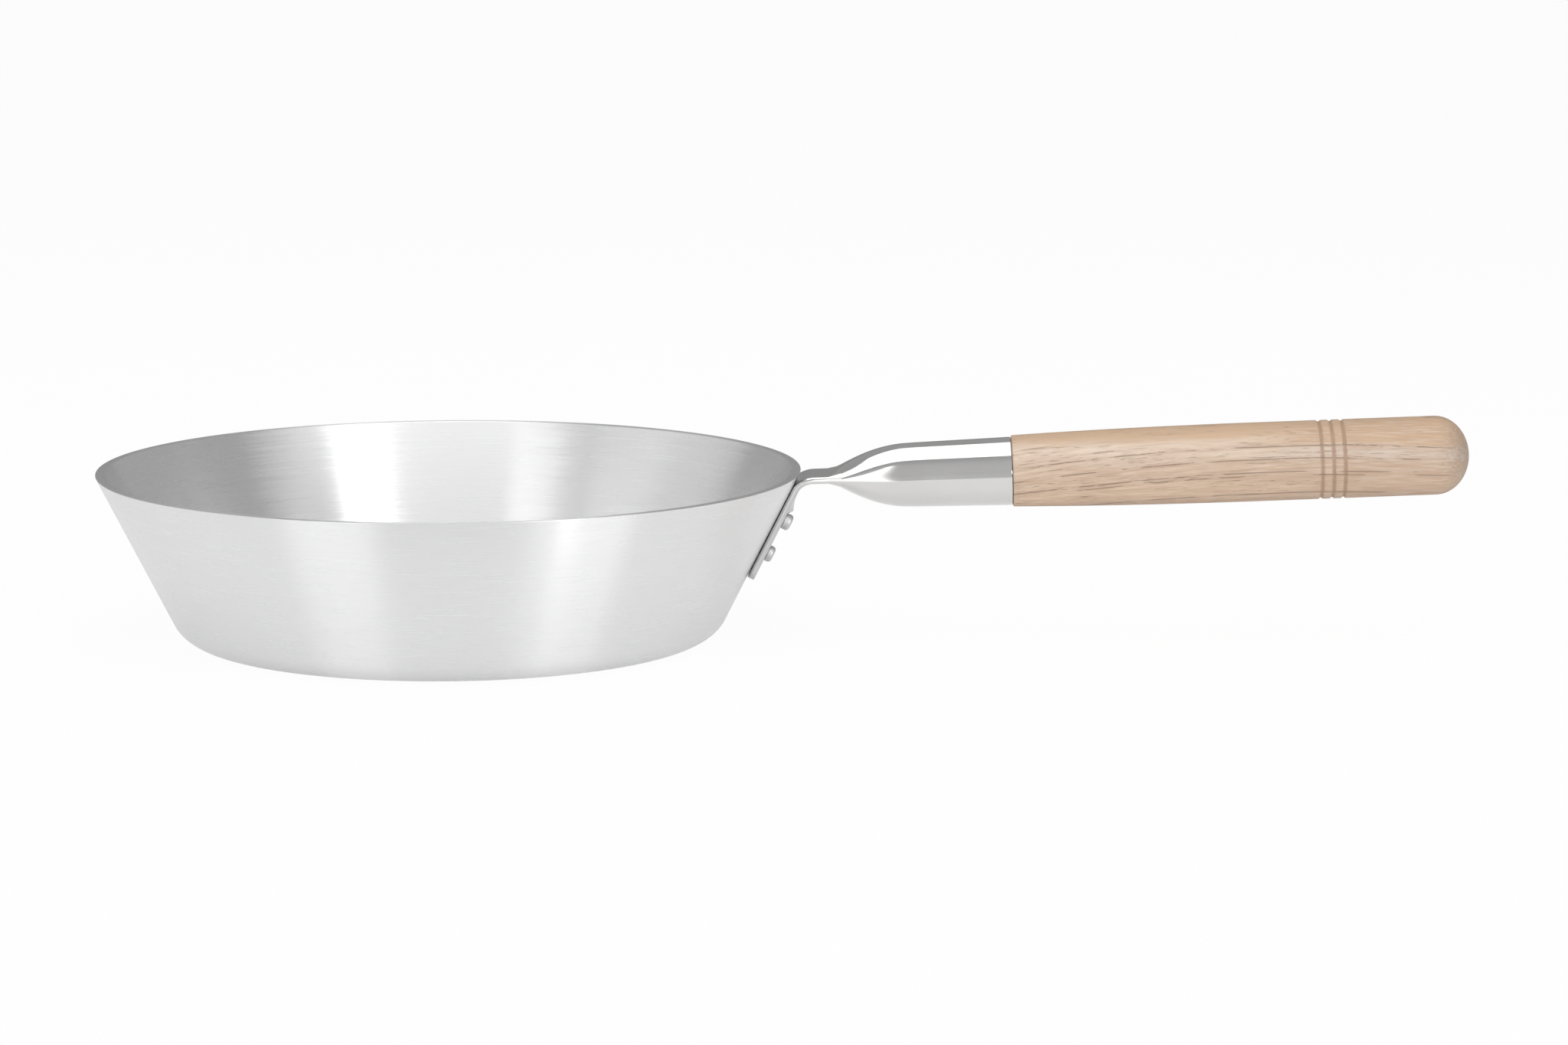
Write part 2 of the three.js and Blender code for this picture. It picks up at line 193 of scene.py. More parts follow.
start_fresh()
bpy.ops.mesh.primitive_circle_add(vertices=BOWL_SIDES, radius=BASE_RADIUS, fill_type="NGON")
bowl = bpy.context.object
bowl.name = "bowl_skin"
edit(bowl)
bpy.ops.mesh.select_all(action="SELECT")
wall_top = BOWL_HEIGHT + TRIM
bpy.ops.mesh.extrude_region_move(TRANSFORM_OT_translate={"value": (0, 0, wall_top)})
spread = wall_radius(wall_top) / BASE_RADIUS
bpy.ops.transform.resize(value=(spread, spread, 1), center_override=(0, 0, wall_top))
bpy.ops.mesh.delete(type="ONLY_FACE")
print("wall pulled up to", round(wall_top / MM, 1), "mm")

# %% Round the base edge
NEAR = 0.1 * MM
ROUND_PROFILE = 0.5

at_base = pick(bowl, "EDGE", lambda edge: max(v.co.z for v in edge.verts) < NEAR)
bend_set_back = BASE_BEND_RADIUS * math.tan((math.pi / 2 - lean) / 2)
bpy.ops.mesh.bevel(
    offset=bend_set_back, segments=BASE_BEND_STEPS, profile=ROUND_PROFILE, affect="EDGES"
)
bpy.ops.mesh.select_all(action="SELECT")
bpy.ops.mesh.normals_make_consistent(inside=False)
bpy.ops.object.mode_set(mode="OBJECT")
print("rounded", at_base, "edges of the base")

# %% Give the sheet its thickness
thickness = bowl.modifiers.new("sheet", "SOLIDIFY")
thickness.thickness = SHEET
thickness.offset = -1
thickness.use_even_offset = True
apply_modifier(bowl, thickness)
print("the sheet is", round(SHEET / MM, 1), "mm thick")

# %% Cut the rim level and break its edges
RIM_EASE = 0.4 * MM
RIM_EASE_STEPS = 3
TOUCHING = 0.01 * MM

edit(bowl)
bpy.ops.mesh.select_all(action="SELECT")
bpy.ops.mesh.bisect(plane_co=(0, 0, BOWL_HEIGHT), plane_no=(0, 0, 1), clear_outer=True)
bpy.ops.mesh.bridge_edge_loops()


def along_rim(edge):
    """True for the rim's two round edges, and not for the short ones across it."""
    near, far = [v.co for v in edge.verts]
    level = min(near.z, far.z) > BOWL_HEIGHT - TOUCHING
    return level and abs(near.xy.length - far.xy.length) < NEAR


pick(bowl, "EDGE", along_rim)
bpy.ops.mesh.bevel(offset=RIM_EASE, segments=RIM_EASE_STEPS, profile=ROUND_PROFILE, affect="EDGES")
bpy.ops.object.mode_set(mode="OBJECT")
print("rim cut at", round(BOWL_HEIGHT / MM, 1), "mm")

# %% [markdown]
# ## Holes for the rivets
#
# Two rivets hold the strap to the wall. Both sheets are drilled, as on the bench: a rod stands square to
# the wall at each place, and a Boolean takes it away from the bowl and, later, from the strap.

# %% Rivet places and the drill
RIVET_RADIUS = 2 * MM
RIVET_HEAD_RADIUS = 3.3 * MM
RIVET_HEAD_SPACE = 8 * MM
BEAD_LENGTH = 10.5 * MM
DRILL_SIDES = 48
DRILL_REACH = 12 * MM
BOWL_SOFT_ANGLE = 35

upper_drop = BEAD_LENGTH + FIT_GAP + RIVET_HEAD_RADIUS
lower_drop = upper_drop + 2 * RIVET_HEAD_RADIUS + RIVET_HEAD_SPACE
rivet_places = {
    "rivet_upper": bend_foot - upper_drop * ahead(strap_heading),
    "rivet_lower": bend_foot - lower_drop * ahead(strap_heading),
}
outward = -lean


def cut(piece, tool):
    """Takes a tool's shape away from a piece and clears the tool up."""
    hole = piece.modifiers.new("hole", "BOOLEAN")
    hole.operation = "DIFFERENCE"
    hole.object = tool
    start_fresh()
    apply_modifier(piece, hole)
    bpy.data.objects.remove(tool)


def drill(piece, point, heading, radius):
    """Drills a round hole right through a piece at a point of the side view."""
    start_fresh()
    bpy.ops.mesh.primitive_cylinder_add(vertices=DRILL_SIDES, radius=radius, depth=2 * DRILL_REACH)
    rod = bpy.context.object
    lay_in_place(rod, point, heading)
    cut(piece, rod)


for place in rivet_places.values():
    drill(bowl, place, outward, RIVET_RADIUS + FIT_GAP)
settle(bowl, BOWL_SOFT_ANGLE)
bowl.name = "spun_bowl"
stands_for(bowl, "pan_body")

# %% [markdown]
# ## The handle tube
#
# The real handle is a round tube that is pressed flat at one end. The flat end is bent and riveted on, and
# the round end takes the grip. Here the flat section is drawn first: a plane whose four corners are
# rounded until the short sides are half circles. It is pushed along the strap, spun round the bend, pushed
# along the neck and then bridged to an oval and on to the round socket. Bridging makes evenly opened rings,
# so each ring slides along the axis to the place where the real flare is open that far.

# %% The flat section at the strap's end
NECK_WIDTH = 25.6 * MM
STRAP_END = 7.7 * MM
STRAP_CORNER = 4 * MM
STRAP_CORNER_STEPS = 8
EDGE_STEPS = 10
FLAT_CUTS = 15

strap_length = lower_drop + RIVET_HEAD_RADIUS + STRAP_END
strap_tip = bend_foot - strap_length * ahead(strap_heading)

start_fresh()
bpy.ops.mesh.primitive_plane_add(size=2)
tube = bpy.context.object
tube.name = "handle_tube_skin"
edit(tube)
bpy.ops.transform.resize(value=(TUBE_WALL, NECK_WIDTH / 2, 1))
bpy.ops.mesh.select_mode(type="VERT")
bpy.ops.mesh.select_all(action="SELECT")
bpy.ops.mesh.bevel(
    offset=TUBE_WALL,
    segments=EDGE_STEPS,
    profile=ROUND_PROFILE,
    affect="VERTICES",
    clamp_overlap=True,
)
bpy.ops.mesh.select_all(action="SELECT")
bpy.ops.mesh.remove_doubles(threshold=TOUCHING)
pick(tube, "EDGE", lambda edge: edge.calc_length() > NECK_WIDTH / 2)
bpy.ops.mesh.subdivide(number_cuts=FLAT_CUTS)
bpy.ops.object.mode_set(mode="OBJECT")
section_points = len(tube.data.vertices)
lay_in_place(tube, strap_tip, strap_heading)
print("the flat section has", section_points, "points")

# %% Push the section up the strap
edit(tube)
bpy.ops.mesh.select_mode(type="FACE")
bpy.ops.mesh.select_all(action="SELECT")
narrowed = 1 - 2 * STRAP_CORNER / NECK_WIDTH
bpy.ops.transform.resize(value=(1, narrowed, 1), center_override=(0, 0, 0))


def push(distance, heading):
    """Pushes the selected end of the tube on along a heading."""
    step = distance * ahead(heading)
    bpy.ops.mesh.extrude_region_move(TRANSFORM_OT_translate={"value": step})


def corner_share(step):
    """How far along the strap, and how wide, the rounded corner is after some of its steps."""
    turn = math.pi / 2 * step / STRAP_CORNER_STEPS
    return STRAP_CORNER * (1 - math.cos(turn)), NECK_WIDTH / 2 - STRAP_CORNER * (1 - math.sin(turn))


for step in range(STRAP_CORNER_STEPS):
    start, half_start = corner_share(step)
    end, half_end = corner_share(step + 1)
    push(end - start, strap_heading)
    bpy.ops.transform.resize(value=(1, half_end / half_start, 1), center_override=(0, 0, 0))

BEAD_STEPS = 14
plain_run = strap_length - STRAP_CORNER - BEAD_LENGTH
push(plain_run, strap_heading)
for step in range(BEAD_STEPS):
    push(BEAD_LENGTH / BEAD_STEPS, strap_heading)
print("strap pushed up", round(strap_length / MM, 1), "mm")

# %% Spin round the bend and push the neck on
BEND_STEPS = 16
NECK_STEPS = 4

bpy.ops.mesh.spin(steps=BEND_STEPS, angle=-bend_angle, center=bend_centre, axis=(0, 1, 0))
for step in range(NECK_STEPS):
    push(NECK_LENGTH / NECK_STEPS, axis_heading)
shape = bmesh.from_edit_mesh(tube.data)
end_points = [v.co for v in shape.verts if v.select]
end_middle = sum(end_points, Vector()) / len(end_points)
print("neck ends at", end_middle, "and the flare starts at", flare_foot)

# %% Draw the oval and the round ring
OVAL_START = 0.25

bpy.ops.mesh.delete(type="FACE")


def draw_ring(opened):
    """A ring across the axis, as wide as the neck and as tall as the flare is there, at an even spacing."""
    centre = flare_foot.lerp(socket_foot, opened)
    bpy.ops.mesh.select_all(action="DESELECT")
    bpy.ops.mesh.primitive_circle_add(
        vertices=section_points,
        radius=NECK_WIDTH / 2,
        location=centre,
        rotation=(0, math.pi / 2 - axis_heading, 0),
    )
    half_height = TUBE_WALL + (NECK_WIDTH / 2 - TUBE_WALL) * opened
    squeeze = half_height / (NECK_WIDTH / 2)
    bpy.ops.transform.resize(value=(squeeze, 1, squeeze), center_override=centre)


draw_ring(OVAL_START)
draw_ring(1)
print("drew an oval and a round ring of", section_points, "points each")

# %% Bridge the neck, the oval and the round ring
FLARE_CUTS = 40


def along_axis(point):
    """Distance of a point from the foot of the flare, along the handle's axis."""
    return (point - flare_foot).dot(ahead(axis_heading))


def at_station(edge, station):
    """True for an edge that goes round the tube at a distance from the flare's foot."""
    return all(abs(along_axis(v.co) - station) < TOUCHING for v in edge.verts)


for start, end in ((0, OVAL_START), (OVAL_START, 1)):
    near, far = start * FLARE_LENGTH, end * FLARE_LENGTH
    loops = pick(tube, "EDGE", lambda e: at_station(e, near) or at_station(e, far))
    bpy.ops.mesh.bridge_edge_loops(number_cuts=FLARE_CUTS, interpolation="LINEAR")
    print("bridged two loops with", loops, "edges together")

# %% Slide each ring to where the flare is open that far
FLARE_SWELL = 2.2
FLARE_START = 1.15
RING_MARGIN = 0.001


def flare_place(opened):
    """Share of the flare's length at which it is opened that far from flat to round."""
    return 1 - (1 - opened ** (1 / FLARE_START)) ** (1 / FLARE_SWELL)


ring_of = {}
for vertex in bmesh.from_edit_mesh(tube.data).verts:
    opened = along_axis(vertex.co) / FLARE_LENGTH
    if RING_MARGIN < opened < 1 - RING_MARGIN:
        ring_of.setdefault(round(opened, 4), set()).add(vertex.index)

for opened, members in sorted(ring_of.items()):
    slide = FLARE_LENGTH * (flare_place(opened) - opened)
    pick(tube, "VERT", lambda vertex: vertex.index in members)
    bpy.ops.transform.translate(value=slide * ahead(axis_heading))
print("slid", len(ring_of), "rings of the flare")

# %% Push the socket on to its mouth and turn it in
SOCKET_RADIUS = 13.6 * MM
SOCKET_STEPS = 6


def widen(ratio, centre):
    """Widens or narrows the selected ring about a point of the axis."""
    bpy.ops.transform.resize(value=(ratio, ratio, ratio), center_override=centre)


pick(tube, "EDGE", lambda e: at_station(e, FLARE_LENGTH))
ring_radius = NECK_WIDTH / 2
taper = (SOCKET_RADIUS - NECK_WIDTH / 2) / SOCKET_STEPS
for step in range(1, SOCKET_STEPS + 1):
    push(SOCKET_LENGTH / SOCKET_STEPS, axis_heading)
    centre = socket_foot.lerp(socket_mouth, step / SOCKET_STEPS)
    widen((ring_radius + taper) / ring_radius, centre)
    ring_radius += taper

push(0, axis_heading)
widen(1 - TUBE_WALL / SOCKET_RADIUS, socket_mouth)
push(-SOCKET_LENGTH, axis_heading)
widen((NECK_WIDTH / 2 - TUBE_WALL) / (SOCKET_RADIUS - TUBE_WALL), socket_foot)
bpy.ops.mesh.edge_face_add()
print("mouth of the socket is", round(2 * ring_radius / MM, 1), "mm across")

# %% [markdown]
# A stiffening bead is pressed into the outer face of the strap: it is highest just above the upper rivet and
# fades out towards the bend. A weight for each point says how far the bead lifts it, and the Displace
# modifier then moves the points along their normals, as a punch would.

# %% Weigh the bead and press it
BEAD_HEIGHT = 2 * MM
BEAD_WIDTH = 11 * MM
BEAD_RISE = 1.2 * MM
BEAD_FADE = 2.2
FACING_OUT = 0.4

bpy.ops.mesh.select_all(action="SELECT")
bpy.ops.mesh.normals_make_consistent(inside=False)
bpy.ops.object.mode_set(mode="OBJECT")
bead_run = BEAD_LENGTH - BEAD_RISE


def eased(share):
    """A soft step from 0 to 1."""
    share = min(1, max(0, share))
    return share * share * (3 - 2 * share)


def bead_weight(point, normal):
    """Share of the bead's height at a point of the tube: 0 away from it, 1 at its top."""
    drop = (bend_foot - point).dot(ahead(strap_heading))
    outer_face = normal.dot(ahead(outward)) > FACING_OUT
    if not outer_face or not 0 < drop < BEAD_LENGTH or abs(point.y) > BEAD_WIDTH / 2:
        return 0
    fade = min(1, drop / bead_run) ** BEAD_FADE * eased((BEAD_LENGTH - drop) / BEAD_RISE)
    return fade * math.cos(math.pi * point.y / BEAD_WIDTH) ** 2


bead = tube.vertex_groups.new(name="bead")
for vertex in tube.data.vertices:
    weight = bead_weight(vertex.co, vertex.normal)
    if weight > 0:
        bead.add([vertex.index], weight, "REPLACE")
press = tube.modifiers.new("press", "DISPLACE")
press.strength = BEAD_HEIGHT
press.mid_level = 0
press.vertex_group = bead.name
apply_modifier(tube, press)
print("the bead is pressed", round(BEAD_HEIGHT / MM, 1), "mm high")

# %% [markdown]
# Riveting pulls the strap's edges in until they lie on the round wall. Each point of the strap moves towards
# the wall by the height of a circle's arc there and most of the clearance, and less and less round the bend.
# The move has a part along X and a part along Z, so two Displace modifiers share one set of weights.

# %% Wrap the strap round the wall
EDGE_CLOSE = 0.22 * MM
wall_curve = wall_radius(BOWL_HEIGHT / 2) / math.cos(lean)
edge_pull = (NECK_WIDTH / 2) ** 2 / (2 * wall_curve) + EDGE_CLOSE


def pull_weight(point):
    """Share of the edge's pull at a point of the tube: full on the strap, fading out round the bend."""
    drop = (bend_foot - point).dot(ahead(strap_heading))
    ahead_of_wall = (point - bend_foot).dot(ahead(outward))
    if ahead_of_wall > BEND_RADIUS:
        return 0
    hold = eased(1 + drop / BEND_RADIUS)
    return hold * (2 * point.y / NECK_WIDTH) ** 2


pull = tube.vertex_groups.new(name="pull")
for vertex in tube.data.vertices:
    weight = pull_weight(vertex.co)
    if weight > 0:
        pull.add([vertex.index], min(1, weight), "REPLACE")
for axis, part in (("X", -math.cos(lean)), ("Z", math.sin(lean))):
    wrap = tube.modifiers.new("wrap", "DISPLACE")
    wrap.direction = axis
    wrap.strength = edge_pull * part
    wrap.mid_level = 0
    wrap.vertex_group = pull.name
    apply_modifier(tube, wrap)
print("the strap's edges are pulled in by", round(edge_pull / MM, 2), "mm")

# %% Break the mouth's edges and drill the strap
MOUTH_EASE = 0.12 * MM
MOUTH_EASE_STEPS = 2


def round_the_mouth(edge):
    """True for the two round edges of the mouth."""
    ends = [v.co - socket_mouth for v in edge.verts]
    level = all(abs(end.dot(ahead(axis_heading))) < TOUCHING for end in ends)
    return level and abs(ends[0].length - ends[1].length) < NEAR


edit(tube)
eased_edges = pick(tube, "EDGE", round_the_mouth)
bpy.ops.mesh.bevel(offset=MOUTH_EASE, segments=MOUTH_EASE_STEPS, profile=ROUND_PROFILE, affect="EDGES")
bpy.ops.object.mode_set(mode="OBJECT")
for place in rivet_places.values():
    drill(tube, place, outward, RIVET_RADIUS + FIT_GAP)
print("broke", eased_edges, "edges of the mouth and drilled", len(rivet_places), "holes")

# %% [markdown]
# ## Turned pieces
#
# The grip, the rivets and the pin are turned shapes. Each starts as a disc at one end of its axis. The end
# face is then pushed on and resized, station by station, as a tool would follow the profile on a lathe.


# %% A lathe made of push and resize
def turn(name, stations, sides):
    """Turns a piece about Z from stations (height, radius) in order of the profile."""
    start_fresh()
    height, radius = stations[0]
    foot = (0, 0, height)
    bpy.ops.mesh.primitive_circle_add(vertices=sides, radius=radius, fill_type="NGON", location=foot)
    piece = bpy.context.object
    piece.name = name
    bpy.ops.object.transform_apply(location=True, rotation=True, scale=True)
    edit(piece)
    bpy.ops.mesh.select_mode(type="FACE")
    bpy.ops.mesh.select_all(action="SELECT")
    for next_height, next_radius in stations[1:]:
        rise = next_height - height
        bpy.ops.mesh.extrude_region_move(TRANSFORM_OT_translate={"value": (0, 0, rise)})
        ratio = next_radius / radius
        bpy.ops.transform.resize(value=(ratio, ratio, 1), center_override=(0, 0, next_height))
        height, radius = next_height, next_radius
    bpy.ops.object.mode_set(mode="OBJECT")
    return piece


def quarter(centre, width, height, start, end, steps):
    """Stations on an elliptic arc: angles from the profile's level direction, in degrees."""
    stations = []
    for step in range(steps + 1):
        angle = math.radians(start + (end - start) * step / steps)
        stations.append((centre[0] + height * math.sin(angle), centre[1] + width * math.cos(angle)))
    return stations


# %% [markdown]
# ## Rivets
#
# A rivet has a shank through both sheets and a flat head with a rounded edge at each end. The heads keep
# the frame's small clearance to the strap and to the inside of the bowl.

# %% Turn the rivets
RIVET_SIDES = 64
INNER_HEAD_HEIGHT = 1.8 * MM
CROWN_RADIUS = 1.3 * MM
CROWN_STEPS = 8
TIP = 0.05 * MM
head_heights = {"rivet_upper": 3 * MM, "rivet_lower": 2.4 * MM}
RIVET_SOFT_ANGLE = 40
outer_seat = TUBE_WALL + FIT_GAP
inner_seat = -(wall_to_middle + SHEET + FIT_GAP)
rivets = []


def crown(height, start, end):
    """Stations round the edge of a rivet's head."""
    middle = (height, RIVET_HEAD_RADIUS - CROWN_RADIUS)
    return quarter(middle, CROWN_RADIUS, CROWN_RADIUS, start, end, CROWN_STEPS)


for node, head_height in head_heights.items():
    inner_top = inner_seat - INNER_HEAD_HEIGHT
    outer_top = outer_seat + head_height
    stations = [(inner_top, TIP)]
    stations += crown(inner_top + CROWN_RADIUS, -90, 0)
    stations += [(inner_seat, RIVET_HEAD_RADIUS), (inner_seat, RIVET_RADIUS)]
    stations += [(outer_seat, RIVET_RADIUS), (outer_seat, RIVET_HEAD_RADIUS)]
    stations += crown(outer_top - CROWN_RADIUS, 0, 90)
    stations += [(outer_top, TIP)]
    rivet = turn(node + "_turned", stations, RIVET_SIDES)
    lay_in_place(rivet, rivet_places[node], outward)
    settle(rivet, RIVET_SOFT_ANGLE)
    stands_for(rivet, node)
    rivets.append(rivet)

# %% [markdown]
# ## The wooden grip
#
# The grip is turned from one piece of pale wood. A tenon sits in the socket, a broken edge meets the mouth,
# the body swells slowly, three grooves are cut near the butt, and the butt is rounded off.

# %% The grip's profile
GRIP_LENGTH = 181.8 * MM
GRIP_RADIUS = 15.7 * MM
GRIP_START_RADIUS = 14.2 * MM
SWELL_LENGTH = 95 * MM
SHOULDER_EASE = 0.8 * MM
SHOULDER_STEPS = 4
SHOULDER_LAST = -15
DOME_LENGTH = 13.4 * MM
DOME_STEPS = 20
DOME_LAST = 89.8
GROOVE_COUNT = 3
GROOVE_SPACING = 4.5 * MM
GROOVE_WIDTH = 2 * MM
GROOVE_DEPTH = 0.6 * MM
GROOVE_FROM_BUTT = 50.5 * MM
GROOVE_STEPS = 10
GROOVE_SHARPNESS = 1.5
TENON_SHORT = 7 * MM
TENON_EASE = 1 * MM
SWELL_STEPS = 24
GRIP_SIDES = 128

tenon_length = SOCKET_LENGTH - TENON_SHORT
first_groove = GRIP_LENGTH - GROOVE_FROM_BUTT - GROOVE_SPACING * (GROOVE_COUNT - 1)


def grip_radius(distance):
    """Radius of the grip at a distance from its shoulder, without the grooves and the dome."""
    left = max(0, 1 - distance / SWELL_LENGTH)
    return GRIP_RADIUS - (GRIP_RADIUS - GRIP_START_RADIUS) * left ** 2


def on_grip(distance, depth=0):
    """A station on the grip's surface."""
    return (FIT_GAP + distance, grip_radius(distance) - depth)


def groove_stations(middle):
    """A cut with a rounded floor and soft lips."""
    stations = []
    for step in range(GROOVE_STEPS + 1):
        share = 2 * step / GROOVE_STEPS - 1
        depth = GROOVE_DEPTH * math.cos(math.pi / 2 * share) ** GROOVE_SHARPNESS
        stations.append(on_grip(middle + share * GROOVE_WIDTH / 2, depth))
    return stations


# %% Turn the grip
bore_clear = TUBE_WALL + FIT_GAP
socket_taper = (SOCKET_RADIUS - NECK_WIDTH / 2) / SOCKET_LENGTH
tip_radius = SOCKET_RADIUS - socket_taper * tenon_length - bore_clear
root_radius = SOCKET_RADIUS - bore_clear
stations = [(-tenon_length, TIP), (-tenon_length, tip_radius - TENON_EASE)]
stations += [(TENON_EASE - tenon_length, tip_radius), (FIT_GAP, root_radius)]
shoulder = (FIT_GAP + SHOULDER_EASE, GRIP_START_RADIUS - SHOULDER_EASE)
stations += quarter(shoulder, SHOULDER_EASE, SHOULDER_EASE, -90, SHOULDER_LAST, SHOULDER_STEPS)
for step in range(SWELL_STEPS + 1):
    stations.append(on_grip(SHOULDER_EASE + (SWELL_LENGTH - SHOULDER_EASE) * step / SWELL_STEPS))
stations.append(on_grip(first_groove - GROOVE_SPACING))
for groove in range(GROOVE_COUNT):
    stations += groove_stations(first_groove + groove * GROOVE_SPACING)
dome_foot = on_grip(GRIP_LENGTH - DOME_LENGTH)
stations.append(on_grip(first_groove + GROOVE_COUNT * GROOVE_SPACING))
stations += quarter((dome_foot[0], 0), dome_foot[1], DOME_LENGTH, 0, DOME_LAST, DOME_STEPS)
grip = turn("turned_grip", stations, GRIP_SIDES)
lay_in_place(grip, socket_mouth, axis_heading)
print("grip turned from", len(stations), "stations")

# %% [markdown]
# ## The pin
#
# A nail driven in from below keeps the grip in its socket. Its coned head is sunk just under the tube's
# surface. Both the tube and the tenon get a hole for it.

# %% Turn the pin and drill for it
PIN_RADIUS = 1.25 * MM
PIN_LENGTH = 10 * MM
PIN_HEAD_RADIUS = 2.2 * MM
PIN_HEAD_HEIGHT = 1 * MM
PIN_SINK = 0.25 * MM
PIN_POINT = 1.5 * MM
PIN_EASE = 0.2 * MM
PIN_SIDES = 40
PIN_SOFT_ANGLE = 30

pin_from_mouth = tenon_length / 2
pin_place = socket_mouth - pin_from_mouth * ahead(axis_heading)
pin_heading = axis_heading - math.pi / 2
pin_top = SOCKET_RADIUS - socket_taper * pin_from_mouth - PIN_SINK


def pin_stations(grown):
    """The pin's outline, or with some clearance the outline of its hole."""
    tip = pin_top - PIN_LENGTH - grown
    return [
        (tip, TIP),
        (tip + PIN_POINT, PIN_RADIUS + grown),
        (pin_top - PIN_HEAD_HEIGHT, PIN_RADIUS + grown),
        (pin_top - PIN_EASE, PIN_HEAD_RADIUS + grown - PIN_EASE / 2),
    ]


pin_head = [(pin_top - PIN_EASE / 3, PIN_HEAD_RADIUS), (pin_top, PIN_HEAD_RADIUS - PIN_EASE), (pin_top, TIP)]
pin = turn("nail", pin_stations(0) + pin_head, PIN_SIDES)
lay_in_place(pin, pin_place, pin_heading)
settle(pin, PIN_SOFT_ANGLE)
stands_for(pin, "grip_pin")

hole_mouth = [(pin_top, PIN_HEAD_RADIUS + FIT_GAP), (pin_top + TUBE_WALL, PIN_HEAD_RADIUS + FIT_GAP)]
for piece in (tube, grip):
    punch = turn("pin_hole", pin_stations(FIT_GAP) + hole_mouth, PIN_SIDES)
    lay_in_place(punch, pin_place, pin_heading)
    settle(punch, PIN_SOFT_ANGLE)
    cut(piece, punch)

# %% Settle the tube and the grip
TUBE_SOFT_ANGLE = 18
GRIP_SOFT_ANGLE = 40

settle(tube, TUBE_SOFT_ANGLE)
tube.name = "flattened_tube"
stands_for(tube, "handle_tube")
settle(grip, GRIP_SOFT_ANGLE)
stands_for(grip, "wood_grip")

# %% [markdown]
# ## Finishes
#
# Every finish reads Object coordinates, so it sits on the pan and not on the screen. Nodes could be laid out
# by hand, but a finish is easier to read as a few lines of arithmetic. The helpers below add a node, join
# its sockets and hand back its result.


# %% Node helpers
def new_finish(name):
    """A material with a plain Principled shader, ready for its nodes."""
    finish = bpy.data.materials.new(name)
    finish.use_nodes = True
    tree = finish.node_tree
    return finish, tree, tree.nodes["Principled BSDF"]


def add(tree, kind, **settings):
    """Adds a node and sets its properties."""
    node = tree.nodes.new(kind)
    for name, value in settings.items():
        setattr(node, name, value)
    return node


def join(tree, value, socket):
    """Feeds a socket from another node's output, or sets it to a plain value."""
    if isinstance(value, bpy.types.NodeSocket):
        tree.links.new(value, socket)
    else:
        socket.default_value = value


def wear(piece, finish):
    """Gives a piece its one finish."""
    piece.data.materials.clear()
    piece.data.materials.append(finish)
    print(piece.name, "wears", finish.name, "with", len(finish.node_tree.nodes), "nodes")


# %% Arithmetic with values
def math_node(tree, operation, first, second=0.0):
    """One step of arithmetic."""
    node = add(tree, "ShaderNodeMath", operation=operation)
    join(tree, first, node.inputs[0])
    join(tree, second, node.inputs[1])
    return node.outputs[0]


def times(tree, first, second):
    """The product of two values. For two shares it is their overlap."""
    return math_node(tree, "MULTIPLY", first, second)


def ramp_node(tree, value, low, high, to_low=0.0, to_high=1.0):
    """Maps a value's range from low to high onto another range, eased and clamped."""
    node = add(tree, "ShaderNodeMapRange", interpolation_type="SMOOTHSTEP")
    join(tree, value, node.inputs["Value"])
    node.inputs["From Min"].default_value = low
    node.inputs["From Max"].default_value = high
    node.inputs["To Min"].default_value = to_low
    node.inputs["To Max"].default_value = to_high
    return node.outputs["Result"]


# %% Arithmetic with places
def vector_node(tree, operation, first, second=(0, 0, 0)):
    """One step of arithmetic with vectors."""
    node = add(tree, "ShaderNodeVectorMath", operation=operation)
    join(tree, first, node.inputs[0])
    join(tree, second, node.inputs[1])
    return node.outputs["Vector"]


def stretch(tree, vector, scale):
    """Scales a vector along each axis, so that a pattern is drawn out along the small ones."""
    return vector_node(tree, "MULTIPLY", vector, scale)


def from_axis(tree, place):
    """Distance from the upright axis through the origin."""
    node = add(tree, "ShaderNodeVectorMath", operation="LENGTH")
    join(tree, stretch(tree, place, (1, 1, 0)), node.inputs[0])
    return node.outputs["Value"]


def parts(tree, vector):
    """The three coordinates of a vector."""
    node = add(tree, "ShaderNodeSeparateXYZ")
    join(tree, vector, node.inputs[0])
    return tuple(node.outputs)


def joined(tree, *coordinates):
    """A vector from its three coordinates."""
    node = add(tree, "ShaderNodeCombineXYZ")
    for value, socket in zip(coordinates, node.inputs):
        join(tree, value, socket)
    return node.outputs[0]


# %% Noise, colour and relief
NOISE_MIDDLE = 0.5
NOISE_SPREAD = (0.3, 0.7)


def noise_node(tree, vector, scale=1.0, detail=2.0, roughness=0.5):
    """Noise about its middle, mostly within its spread."""
    node = add(tree, "ShaderNodeTexNoise")
    join(tree, vector, node.inputs["Vector"])
    node.inputs["Scale"].default_value = scale
    node.inputs["Detail"].default_value = detail
    node.inputs["Roughness"].default_value = roughness
    return node.outputs["Fac"]


def centred(tree, noise):
    """Noise that swings about 0."""
    return math_node(tree, "SUBTRACT", noise, NOISE_MIDDLE)


def mix_colour(tree, factor, first, second):
    """Mixes two colours. Of the Mix node's sockets, 6 and 7 take colours and output 2 gives one."""
    node = add(tree, "ShaderNodeMix", data_type="RGBA")
    join(tree, factor, node.inputs[0])
    join(tree, first, node.inputs[6])
    join(tree, second, node.inputs[7])
    return node.outputs[2]


def bump_node(tree, height, distance):
    """Turns a height pattern into small bends of the surface."""
    node = add(tree, "ShaderNodeBump")
    node.inputs["Distance"].default_value = distance
    join(tree, height, node.inputs["Height"])
    return node.outputs["Normal"]
